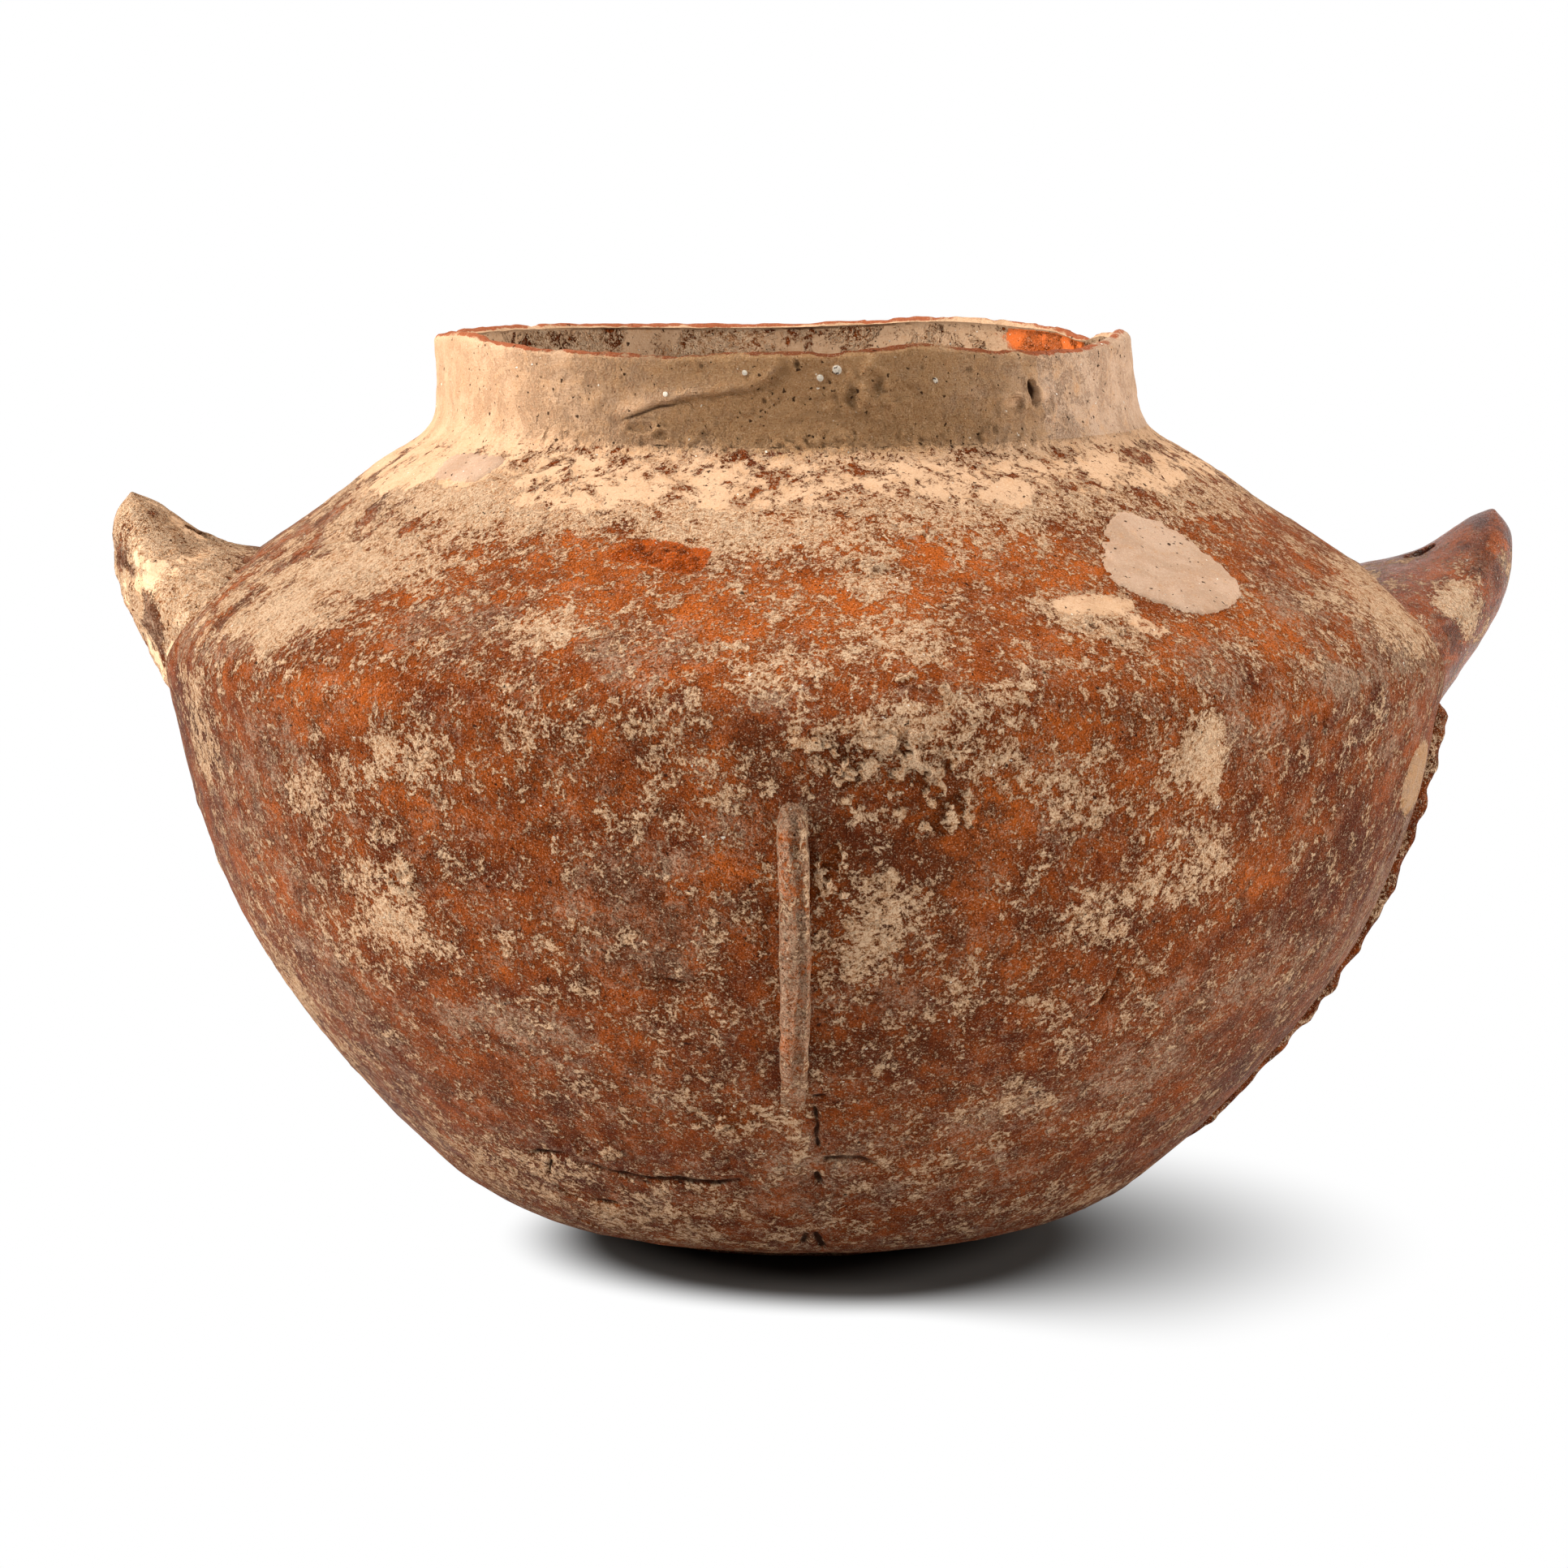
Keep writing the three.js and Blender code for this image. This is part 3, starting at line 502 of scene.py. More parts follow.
class Nodes:
    """A tree of nodes, with short ways to add to it."""

    def __init__(self, owner):
        owner.use_nodes = True
        self.tree = owner.node_tree

    def feed(self, value, node, name):
        self.tree.links.new(value, self.tree.nodes[node].inputs[name])

    def node(self, kind, values=(), **settings):
        node = self.tree.nodes.new(kind)
        for key, value in settings.items():
            setattr(node, key, value)
        for key, value in dict(values).items():
            if isinstance(value, bpy.types.NodeSocket):
                self.tree.links.new(value, node.inputs[key])
            else:
                node.inputs[key].default_value = value
        return node

    def sum(self, operation, *values, clamp=False):
        values = dict(enumerate(values))
        return self.node("ShaderNodeMath", values, operation=operation, use_clamp=clamp).outputs[0]

    def times(self, *values, clamp=False):
        return self.sum("MULTIPLY", *values, clamp=clamp)

    def step(self, value, low, high, start=0.0, end=1.0):
        """A soft step from start, where the value is low, to end, where it is high."""
        values = {"Value": value, "From Min": low, "From Max": high, "To Min": start, "To Max": end}
        return self.node("ShaderNodeMapRange", values, interpolation_type="SMOOTHSTEP").outputs[0]

    def blend(self, share, low, high):
        low, high = ((*c, 1) if isinstance(c, tuple) else c for c in (low, high))
        return self.node("ShaderNodeMix", {0: share, 6: low, 7: high}, data_type="RGBA").outputs[2]


class Finish(Nodes):
    """The nodes of one material. Its patterns follow the place on the piece, or a layer of its points."""

    def __init__(self, name):
        self.material = bpy.data.materials.new(name)
        super().__init__(self.material)
        self.place = self.node("ShaderNodeTexCoord").outputs["Object"]

    def layer(self, name):
        return self.node("ShaderNodeAttribute", attribute_name=name).outputs["Fac"]

    def noise(self, size, detail=2.0, roughness=0.5, shift=0.0, stretched=(1, 1, 1), distortion=0.0):
        """Cloudy noise with features of about that size in mm."""
        place = {"Vector": self.place, "Location": (shift, shift * 0.7, -shift), "Scale": stretched}
        values = {"Vector": self.node("ShaderNodeMapping", place).outputs[0], "Scale": 1 / (size * MM),
                  "Detail": detail, "Roughness": roughness, "Distortion": distortion}
        return self.node("ShaderNodeTexNoise", values).outputs["Fac"]

    def constant(self, name, value):
        self.tree.nodes["Principled BSDF"].inputs[name].default_value = value


def paint(red, green, blue):
    """A colour as a screen shows it, from 0 to 255."""
    return tuple(((c / 255 + 0.055) / 1.055) ** 2.4 for c in (red, green, blue))


# Deep, middle and bright red slip, the grey film and brown stain on it, the lime crust, the smooth paste,
# the worn lip, bare clay and white grits; painted shade between grains, at crust edges and in grooves;
# and the darker painted shade in pits, cracks and holes
SLIP = (paint(104, 40, 8), paint(154, 71, 19), paint(198, 97, 31))
FILM_GREY, FILM_PALE = paint(150, 106, 76), paint(222, 186, 154)
STAIN, SHADOW = paint(90, 38, 8), paint(50, 22, 6)
CRUST_DEEP, CRUST_TAN, CRUST_CREAM = paint(150, 96, 56), paint(196, 149, 107), paint(222, 186, 150)
PASTE_CREAM, PASTE_PALE, PASTE_OLIVE = paint(166, 132, 101), paint(178, 144, 113), paint(184, 141, 97)
RIM_RED, RIM_ORANGE = paint(128, 58, 30), paint(206, 92, 24)
BARE_DEEP, BARE_RED = paint(90, 34, 4), paint(186, 78, 8)
GRIT, HOLE_SHADE = paint(252, 240, 220), paint(46, 22, 10)


def crusted_clay(name, gloss=0.5, shine=0.03, wiped=0.0, sand_and_grain_shade=1.0, putty=(PASTE_CREAM, PASTE_PALE)):
    """Red slip under grey film, brown stain, lime crust and smooth paste, each where its layer lies."""
    f = Finish(name)
    lime, film, glow, brown, paste, olive, worn, crack, grit, bare = (f.layer(layer) for layer in LAYERS)

    def cloud(size, shift, detail=5, roughness=0.62, distortion=0.0):
        """Noise spread out to about -1 to 1."""
        noise = f.noise(size, detail, roughness, shift, distortion=distortion)
        return f.sum("MULTIPLY_ADD", noise, 8.0, -4.0)

    def mixed(start, *parts):
        """The sum of values, each with its weight."""
        total = start
        for value, weight in parts:
            total = f.sum("MULTIPLY_ADD", value, weight, total)
        return total

    broad = cloud(26, 0.31, 3, 0.55)
    cloudy = cloud(9, 0.87, 6, 0.68, 0.5)
    curdled = cloud(3.2, 0.13, 5, 0.72, 0.6)
    wispy = cloud(2.6, 0.33, 4, 0.74, 2.4)
    fine = cloud(0.9, 0.45, 3, 0.74)
    sandy = cloud(0.36, 0.71, 2, 0.7)

    # The slip, from deep brown-red to bright orange, and the grey film on it
    tone = mixed(-0.2, (glow, 1.0), (broad, 0.22), (cloud(7, 0.52), 0.3), (curdled, 0.12))
    slip_colour = f.blend(f.step(tone, -0.5, 0.25), SLIP[0], SLIP[1])
    slip_colour = f.blend(f.step(tone, 0.15, 0.9), slip_colour, SLIP[2])

    filmed = mixed(-0.6, (film, 1.2), (cloud(8, 0.57, 6, 0.7, 0.4), 0.38), (wispy, 0.3), (fine, 0.1))
    film_colour = f.blend(f.step(mixed(0.0, (wispy, 0.6), (fine, 0.5)), -0.9, 1.1), FILM_GREY, FILM_PALE)
    colour = f.blend(f.step(filmed, -0.35, 0.9, 0, 0.88), slip_colour, film_colour)

    # The brown stain, then the lime crust with a line of painted shade just outside its edge
    stained = mixed(-0.8, (brown, 1.25), (cloud(8, 0.23), 0.5), (curdled, 0.3), (wispy, 0.15))
    colour = f.blend(f.step(stained, -0.3, 0.8, 0, 0.8), colour, STAIN)

    crusted = mixed(-0.62, (lime, 1.05), (cloudy, 0.3), (curdled, 0.4), (wispy, 0.24), (fine, 0.24),
                    (sandy, 0.08))
    crust_edge = f.step(crusted, -0.1, 0.2)
    # Painted shade: a dark rim just outside each crust island, standing in for the shadow at its edge.
    colour = f.blend(f.step(crusted, -0.4, -0.1, 0, 0.28), colour, SHADOW)
    crust_tone = mixed(0.38, (crusted, 0.4), (fine, 0.3), (sandy, 0.15), (wispy, 0.25))
    crust_body = f.blend(f.step(crust_tone, -0.7, 0.25), CRUST_DEEP, CRUST_TAN)
    crust_body = f.blend(f.step(crust_tone, 0.15, 1.0), crust_body, CRUST_CREAM)
    crust_cover = f.times(crust_edge, f.step(crusted, -0.1, 0.7, 0.62, 0.92))
    colour = f.blend(crust_cover, colour, crust_body)

    # Bare red clay, the smooth paste and the worn lip
    bared = f.step(mixed(0.0, (bare, 1.0), (curdled, 0.15), (fine, 0.08)), 0.4, 0.6)
    bare_tone = f.step(mixed(0.0, (curdled, 0.5), (fine, 0.2)), -0.8, 0.5)
    colour = f.blend(bared, colour, f.blend(bare_tone, BARE_DEEP, BARE_RED))

    pasted = mixed(-0.75, (paste, 1.45), (cloudy, 0.22), (curdled, 0.22), (fine, 0.1), (sandy, 0.05))
    pasted = f.step(pasted, -0.15, 0.15)
    paste_colour = f.blend(f.step(cloudy, -0.8, 1.0), *putty)
    greened = f.step(mixed(0.0, (olive, 1.0), (curdled, 0.2)), 0.0, 0.9)
    paste_colour = f.blend(greened, paste_colour, PASTE_OLIVE)
    soiled = f.step(mixed(-0.25, (olive, 0.25), (curdled, 0.45), (fine, 0.35)), 0.1, 1.1, 0, 0.6)
    paste_colour = f.blend(soiled, paste_colour, CRUST_DEEP)
    colour = f.blend(f.times(pasted, 0.93), colour, paste_colour)

    rim = f.step(mixed(0.0, (worn, 1.0), (curdled, 0.25)), 0.55, 0.85)
    rim_colour = f.blend(f.step(glow, 0.6, 1.0), RIM_RED, RIM_ORANGE)
    colour = f.blend(f.times(rim, 0.9), colour, rim_colour)

    # Painted shade between grains, pale grains, thin winding grooves with painted shade along them, white
    # grits, and pits and cracks painted dark as their shade
    grains = f.sum("MULTIPLY_ADD", pasted, f.sum("MULTIPLY_ADD", olive, 0.45, -0.6), sand_and_grain_shade)
    covered = f.sum("MAXIMUM", crust_edge, pasted)
    # Painted shade between grains: dark specks stand in for the small shadows of the grain, dark brown on
    # crust and paste, near black elsewhere.
    shade_between_grains = f.step(mixed(0.0, (sandy, 1.0), (fine, 0.3)), -0.1, -1.4, 0, 0.8)
    colour = f.blend(f.times(grains, shade_between_grains), colour, f.blend(covered, SHADOW, CRUST_DEEP))
    pale_grains = f.step(mixed(0.0, (sandy, 1.0), (wispy, 0.3)), 0.5, 1.7, 0, 0.62)
    colour = f.blend(f.times(grains, pale_grains), colour, CRUST_CREAM)

    # Thin winding grooves: sunk in the bump, and painted with shade along them.
    winding = f.sum("ABSOLUTE", cloud(6, 0.91, 5, 0.68, 1.5))
    where_grooved = f.step(mixed(0.0, (cloudy, 0.8), (pasted, -1.2)), -0.3, 0.7)
    marks = f.times(f.step(winding, 0.09, 0.0), where_grooved)
    colour = f.blend(f.times(marks, 0.6), colour, SHADOW)

    speckle = f.noise(1.25, 2, 0.5, 0.66)
    grits = f.sum("MAXIMUM", f.step(speckle, 0.735, 0.765), f.step(grit, 0.35, 0.6))
    colour = f.blend(f.times(grits, 0.85), colour, GRIT)
    # Painted shade in pits: small sunk specks painted near black.
    shaded_pits = f.step(f.sum("MULTIPLY_ADD", olive, -0.04, speckle), 0.31, 0.25)
    colour = f.blend(f.times(shaded_pits, 0.9), colour, HOLE_SHADE)
    # Painted shade in cracks, gouges, the crevice under the ledge and small holes, in the same dark colour as
    # the pits.
    colour = f.blend(f.step(crack, 0.25, 0.8, 0, 0.93), colour, HOLE_SHADE)

    f.feed(colour, "Principled BSDF", "Base Color")
    rough = mixed(gloss, (covered, 0.95 - gloss), (curdled, 0.06), (bared, -0.5))
    f.feed(rough, "Principled BSDF", "Roughness")
    f.constant("Specular IOR Level", shine)

    # The grain of the surface: least on smooth paste, and combed sideways where that is olive
    grain = mixed(0.0, (fine, 0.55), (curdled, 0.45), (sandy, 0.3))
    grain = f.times(grain, f.sum("MULTIPLY_ADD", crust_edge, -0.1, 0.6))
    grain = f.sum("MULTIPLY_ADD", crust_edge, 0.6, grain)
    softness = f.times(pasted, f.sum("MULTIPLY_ADD", olive, -1.1, 0.94), clamp=True)
    height = f.times(grain, f.sum("SUBTRACT", 1.0, softness))
    if wiped:
        wiping = f.noise(0.7, 6, 0.75, 0.5, stretched=(0.06, 0.06, 1))
        height = f.sum("MULTIPLY_ADD", f.times(wiping, olive), wiped, height)
    height = mixed(height, (shaded_pits, -1.0), (grits, 0.4), (marks, -0.7))
    bump = f.node("ShaderNodeBump", {"Height": height, "Distance": 1.0 * MM, "Strength": 1.0})
    f.feed(bump.outputs[0], "Principled BSDF", "Normal")
    return f.material


slip_red = crusted_clay("slip_red")
wall = spun("bowl_wall", stretch(outer_line, DISH_TOP, FOLD_TOP, WALL_STEP),
            stretch(inner_line, FOLD_TOP, DISH_TOP, 5))
finished(shaped(refined(wall, near_scores)), slip_red, "slip_red", "body_wall")

# Base dish
# The shallow moulded dish that the pot was started in, 7 to 9 mm thick, with the worn flat it stands on.
# Same clay as the wall, which is coiled up from its edge.
FLOOR_EDGE, FLOOR_MIDDLE = 14.4, 9
floor_radius = np.interp(FLOOR_EDGE, inner_line[:, 1], inner_line[:, 0])
floor_run = np.linspace(floor_radius, 0, 14)[1:]
floor_rise = FLOOR_MIDDLE + (FLOOR_EDGE - FLOOR_MIDDLE) * (floor_run / floor_radius) ** 2
flat_foot = np.column_stack([np.linspace(0, FOOT_RADIUS, 14)[:-1], np.zeros(13)])
crusted_slip = crusted_clay("crusted_slip", gloss=0.6)
floor = np.column_stack([floor_run, floor_rise])
dish = spun("dish_shell", np.vstack([flat_foot, stretch(outer_line, 0, DISH_TOP, WALL_STEP)]),
            np.vstack([stretch(inner_line, DISH_TOP, FLOOR_EDGE, 4), floor]))
finished(shaped(refined(dish, near_scores)), crusted_slip, "crusted_slip", "base_dish")

# Shoulder
# The cone of clay closed in over the wall at the fold, 6 mm thick, up to the foot of the collar.
# The slip is bright orange here, under cream lime and the smooth paste round the collar.
shoulder = spun("shoulder_cone", stretch(outer_line, FOLD_TOP, NECK_FOOT, 1.1),
                stretch(inner_line, NECK_FOOT, FOLD_TOP, 5))
finished(shaped(refined(shoulder, near_scores)), crusted_slip, "crusted_slip", "shoulder")

# Collar
# Two coils of clay drawn up into a short neck with a thin uneven lip.
# The upper coil overlaps the lower one in a wavy ledge on the front, with finger dents and pits.
NECK_FILL_FROM, NECK_FILL_TO = 44, 92
LEDGE_AT = [-28, -26, -20, -15.3, -5.5, -2.5, -0.3, 8, 14, 20, 30, 37.6, 45]
LEDGE_UP = [180, 180.9, 183.4, 184.6, 186.4, 188, 190.9, 184.6, 183, 183.7, 184.6, 182.4, 183.6]
# Finger dents and holes, by azimuth, height, half width and half height in mm, depth and rim height
DENTS = [(14.3, 186.6, 1.7, 2.9, 1.1, .6), (10.6, 185.4, 1.3, 2.2, .45, .3), (19, 185.6, 4.2, 1.5, .55, .3),
         (37.6, 182.3, 2.2, 1.4, .8, .55), (45.2, 182.8, 1.4, 1.8, .8, .5), (33, 185.5, 2.8, 1.1, .35, .35),
         (42.1, 185.3, 0.95, 2.4, 2.4, .35), (-23.1, 178.4, 2.4, 1.0, .7, .5),
         (-19.5, 177, 1.2, 0.8, .5, .4), (30, 190, .7, .7, .8, .2), (2.5, 191.5, .7, .8, .9, .2),
         (-12.5, 191, .6, .5, .8, .1), (33.5, 178, .8, 1.2, .8, .3), (-33, 187, .6, .6, .6, .1),
         (-26, 188.5, .45, .45, .6, .1), (-38, 183, .4, .4, .5, .1), (22, 190.6, .5, .5, .7, .1),
         (-3, 184.2, .45, .45, .5, .1)]
GRITS = [(8.5, 190.4, 1.0), (5.8, 188.8, .75), (-18.5, 185.3, .6), (-5.8, 189.8, .6), (24, 188, .6)]


def collar_front(azimuth, height):
    return np.abs(azimuth) < 56


def collar_work(p, story):
    """The ledge of the upper coil, finger dents, grits and crumbs on the front of the collar, in mm."""
    azimuth, height = turned_place(p)
    wide = np.interp(height, outer_line[:, 1], outer_line[:, 0]) * math.pi / 180
    over = height - np.interp(azimuth, LEDGE_AT, LEDGE_UP) - 0.7 * lumps(p, 6, 81, 2)
    there = eased(azimuth, -30, -24) * (1 - eased(azimuth, 44, 49))
    broken = 1 - 0.55 * eased(azimuth, 6, 10) * eased(lumps(p, 7, 86), -0.5, 0.3)
    there = there * (1 - eased(azimuth, -1.5, 1) * broken)
    past = np.maximum(over - 0.5, 0)
    brow = eased(over, -0.5, 0.5) * (0.6 * bell(past, 0, 1.8) + 0.4 * bell(past, 0, 5.5))
    height_off = 1.15 * there * brow * (1.0 + 0.5 * lumps(p, 7, 82))
    # Painted highlight: the lit roll above the ledge is made paler by taking olive out of it.
    story["olive"] = story["olive"] - 0.35 * there * brow
    # Painted shade: a dark line in the crevice under the left end of the ledge.
    crevice = bell(over, -0.5, 0.4) * (1 - eased(azimuth, -19, -14)) * there
    story["crack"] = np.maximum(story["crack"], 0.8 * crevice)
    combed = lumps(np.column_stack([azimuth * wide * 0.22, 0 * height, height]), 0.9, 88, 2)
    rough = (1 - eased(over, -1, 1) * (1 - eased(azimuth, -3, 1))) * eased(azimuth, -26, -14)
    rough = rough * (1 - eased(azimuth, 40, 48)) * (1 - 0.7 * eased(height, 185, 189))
    height_off += rough * (0.22 * combed + 0.3 * lumps(p, 1.4, 89, 2))
    for at, level, half_wide, half_tall, deep, rim in DENTS:
        gap = np.hypot((azimuth - at) * wide / half_wide, (height - level) / half_tall)
        gap = gap + 0.45 * lumps(p, 2.6, 87, 2)
        height_off += 1.5 * rim * bell(gap, 1.5, 0.6) - 0.55 * deep * np.exp(-np.maximum(gap, 0) ** 3)
        # Painted shade: the small deep dents are painted dark inside, as holes in shade.
        if half_wide < 1.1:
            story["crack"] = np.maximum(story["crack"], min(deep / 1.6, 1) * np.exp(-(gap * 1.1) ** 4))
    for at, level, size in GRITS:
        gap = np.hypot((azimuth - at) * wide, height - level) / size
        height_off += 0.6 * np.exp(-gap ** 4)
        story["grit"] = np.maximum(story["grit"], np.exp(-gap ** 4))
    return height_off


COLLAR_STEP, LIP_ROUND = 0.7, 1.8
lime_tan = crusted_clay("lime_tan", gloss=0.75, wiped=4.5)
coil_outside = stretch(outer_line, NECK_FOOT, COIL_TOP, COLLAR_STEP)
coil_inside = stretch(inner_line, COIL_TOP, NECK_FOOT, 1.5)
coil_turn = 360 + NECK_FILL_FROM - NECK_FILL_TO
coil = spun("collar_coil", coil_outside, coil_inside, NECK_FILL_TO, coil_turn)
finished(shaped(refined(coil, collar_front), collar_work), lime_tan, "lime_tan", "neck_band")

crown_foot = LIP_TOP - LIP_ROUND
crown_out = np.interp(crown_foot, outer_line[:, 1], outer_line[:, 0])
crown_in = np.interp(crown_foot, inner_line[:, 1], inner_line[:, 0])
bow = np.linspace(0, math.pi, 9)[1:-1]
crown = np.column_stack([(crown_out + crown_in) / 2 + (crown_out - crown_in) / 2 * np.cos(bow),
                         crown_foot + LIP_ROUND * np.sin(bow)])
lip_outside = np.vstack([stretch(outer_line, COIL_TOP, crown_foot, COLLAR_STEP), crown])
lip_inside = stretch(inner_line, crown_foot, COIL_TOP, 1.0)
rim = spun("collar_rim", lip_outside, lip_inside, NECK_FILL_TO, coil_turn)
finished(shaped(refined(rim, collar_front), collar_work), lime_tan, "lime_tan", "rim_band")

plaster_fill = crusted_clay("plaster_fill", gloss=0.8, putty=(paint(154, 127, 104), paint(168, 141, 118)))
fill = spun("collar_fill", np.vstack([coil_outside[:-1], lip_outside]),
            np.vstack([lip_inside, coil_inside[1:]]), NECK_FILL_FROM, NECK_FILL_TO - NECK_FILL_FROM)
finished(shaped(refined(fill, collar_front), collar_work), plaster_fill, "plaster_fill", "neck_fill_right")

# Horn lugs
# Two lumps of clay pressed on at the fold and pulled out and up to a blunt tip, each pierced by a slanting
# hole for a cord. The left one is crusted with cream lime, the right one is rubbed shiny by hands.
FOLD_RADIUS = 138
HORN_UPPER = [(-34, 20), (-20.5, 21.6), (-9, 25.2), (0.4, 31.6), (6.2, 34.3)]
HORN_LOWER = [(-10.5, -21), (3.8, 0.5), (9.8, 15.5), (9.9, 29.2), (6.2, 34.3)]
HORN_WIDTH, HORN_TIP_WIDTH, HORN_TAPER, HORN_BLUNTNESS = 92, 9, 1.3, 12
STRING_HOLE, STRING_SLOPE = 6.5, 51
HOLE_INWARD, HOLE_HEIGHT = 2.2, 16.4
LET_IN, HORN_GRAIN = 3, 0.75


def depth_of(p):
    """How deep points in mm lie under the jar's outer form, negative outside it."""
    bulge = off_round(np.arctan2(p[:, 0], -p[:, 1]))
    run = np.interp(p[:, 2], outer_line[:, 1], along[:, 1])
    radius = np.interp(p[:, 2], outer_line[:, 1], outer_line[:, 0])
    return (radius + bulge - np.hypot(p[:, 0] - drift(p[:, 2]), p[:, 1])) * run


def horn(name, side, reach, splay, lift):
    """A horn lug, drawn out of a ball, let into the wall and pierced."""
    piece = started(name, bpy.ops.mesh.primitive_uv_sphere_add, segments=96, ring_count=72, radius=1)
    ball = points_of(piece) * MM
    lines = []
    for line in (HORN_UPPER, HORN_LOWER):
        line = np.array(line, float)
        share = eased(line[:, 1], 0.5, 29.2)
        lines.append(smooth_line(np.column_stack([
            FOLD_RADIUS + line[:, 0] + reach + splay * share, FOLD_TOP + line[:, 1] + lift * share])))
    rise = np.clip(np.arccos(np.clip(-ball[:, 2], -1, 1)) / math.pi, 0, 1)
    cap = np.clip(rise / 0.1, 0, 1)
    share = np.sin(np.clip((rise - 0.1) / 0.9, 0, 1) * math.pi / 2)
    at = share * (len(lines[0]) - 1)
    top, foot = (np.column_stack([np.interp(at, np.arange(len(line)), line[:, i]) for i in (0, 1)])
                 for line in lines)
    around = np.arctan2(ball[:, 1], ball[:, 0])
    half_width = (HORN_TIP_WIDTH + (HORN_WIDTH - HORN_TIP_WIDTH) * (1 - share) ** HORN_TAPER) / 2
    half_width = half_width * np.sqrt(1 - share ** HORN_BLUNTNESS) * cap
    middle, half = (top + foot) / 2, (top - foot) / 2 * (cap * np.sin(around))[:, None]
    p = np.column_stack([side * (middle[:, 0] + half[:, 0]), half_width * np.cos(around),
                         middle[:, 1] + half[:, 1]])
    sunk = np.maximum(depth_of(p) - LET_IN, 0)
    p = p - outward_of(p) * sunk[:, None]
    put_points(piece, p)
    in_edit(lambda: bpy.ops.mesh.remove_doubles(threshold=SAME_POINT),
            lambda: bpy.ops.mesh.normals_make_consistent(inside=False))

    slope = math.radians(STRING_SLOPE)
    hole_at = side * (FOLD_RADIUS - HOLE_INWARD + reach) * MM
    drill = started(
        "drill", bpy.ops.mesh.primitive_cylinder_add, vertices=24, radius=STRING_HOLE / 2 * MM, depth=0.12,
        location=(hole_at, -2 * MM, (FOLD_TOP + HOLE_HEIGHT + lift) * MM),
        rotation=(0, side * (math.pi / 2 + slope), 0))
    applied(piece, "BOOLEAN", operation="DIFFERENCE", object=drill, solver="EXACT")
    bpy.data.objects.remove(drill)
    applied(piece, "REMESH", mode="VOXEL", voxel_size=HORN_GRAIN * MM)
    applied(piece, "SMOOTH", factor=0.5, iterations=3)
    return piece


def roughened(piece, look):
    """Gives a lug or rib its relief and surface layers."""
    p, normal = points_of(piece), rows_of(piece.data.vertices, "normal")
    story = surface_story(p, np.ones(len(p)))
    height = 0.3 * lumps(p, 16, 21) + 0.22 * lumps(p, 4.5, 22, 2) - 0.45 + look(p, story)
    put_points(piece, p + normal * height[:, None])
    for layer, values in story.items():
        layer_of(piece, layer, values)
    return piece


def left_horn_look(p, story):
    face = eased(-p[:, 0], 114, 128)
    story["lime"][:] = story["lime"] * (1 - face) + face * (1.25 + 0.5 * lumps(p, 6, 41, 2))
    story["paste"][:] = face * (0.42 + 0.3 * lumps(p, 8, 46, 2))
    story["brown"][:] = story["brown"] * (1 - face)
    chain = np.abs(p[:, 2] - 147 + (p[:, 0] + 146) * 1.5 + 3 * lumps(p, 7, 42)) / 2.6
    smear = np.exp(-chain ** 2) * eased(-p[:, 0], 132, 138) * eased(lumps(p, 6, 45, 2), -0.3, 0.1)
    low = bell(p[:, 2] - 130, 0.35 * (p[:, 0] + FOLD_RADIUS), 2.5)
    smear = smear + 0.6 * low * eased(lumps(p, 4, 48, 3), 0, 0.4) * face
    story["lime"] -= 1.2 * smear
    story["paste"] -= 0.8 * smear
    story["brown"] += smear
    story["film"] += 0.5 * smear
    calm = 1 - 0.8 * eased(p[:, 2], 150, 156)
    return face * calm * (0.5 * lumps(p, 2.8, 43, 2) + 0.4 * lumps(p, 6, 44)) - 0.2


def right_horn_look(p, story):
    tip = eased(p[:, 2], 146, 153)
    outer = eased(p[:, 0] + 0.5 * (p[:, 2] - 140) + 2 * lumps(p, 7, 47, 2), 146, 151)
    crust = np.exp(-(((p[:, 0] - 138) / 5) ** 2 + ((p[:, 2] - 139) / 7) ** 2))
    patches = lumps(p, 7, 49, 3)
    story["lime"][:] = 0.25 - 0.5 * tip + 0.7 * crust + 0.9 * patches * (1 - tip)
    story["glow"][:] = 0.55 + 0.35 * tip * (1 - outer)
    story["film"][:] = 0.2 + 0.6 * outer * (1 - tip) * eased(patches, -0.2, 0.3) + 0.2 * (1 - tip)
    story["brown"][:] = 0.25 + 0.55 * outer * tip + 0.7 * eased(-patches, 0.1, 0.5) * (1 - 0.5 * tip)
    story["paste"][:] = 0
    return np.full(len(p), -0.05)


horn_cream = crusted_clay("horn_cream", gloss=0.75, putty=(paint(188, 150, 114), paint(204, 168, 134)))
horn_brown = crusted_clay("horn_brown", gloss=0.25, shine=0.3, sand_and_grain_shade=0.45)
left = horn("horn_left", -1, 0, 0.4, 0)
finished(roughened(left, left_horn_look), horn_cream, "horn_cream", "left_horn")
right = horn("horn_right", 1, 3.2, 1, -4.1)
finished(roughened(right, right_horn_look), horn_brown, "horn_brown", "right_horn")

# Ribs
# Strips of clay pinched between finger and thumb and pressed on down the bowl, with a groove along them.
# The front one is short and pale where it is raised, the right one long, brown and beaded by fingertips.
RIB_WIDTH, RIB_SQUARENESS, RIB_SINK = 7, 0.4, 2.0
RIB_SET_ON, RIB_BLUNT, RIB_FADE_OUT, RIB_TAIL, RIB_NARROWING = 7, 0.45, 14, 0.16, 0.25
BEAD_PITCH, RIB_GRAIN = 7.5, 0.75


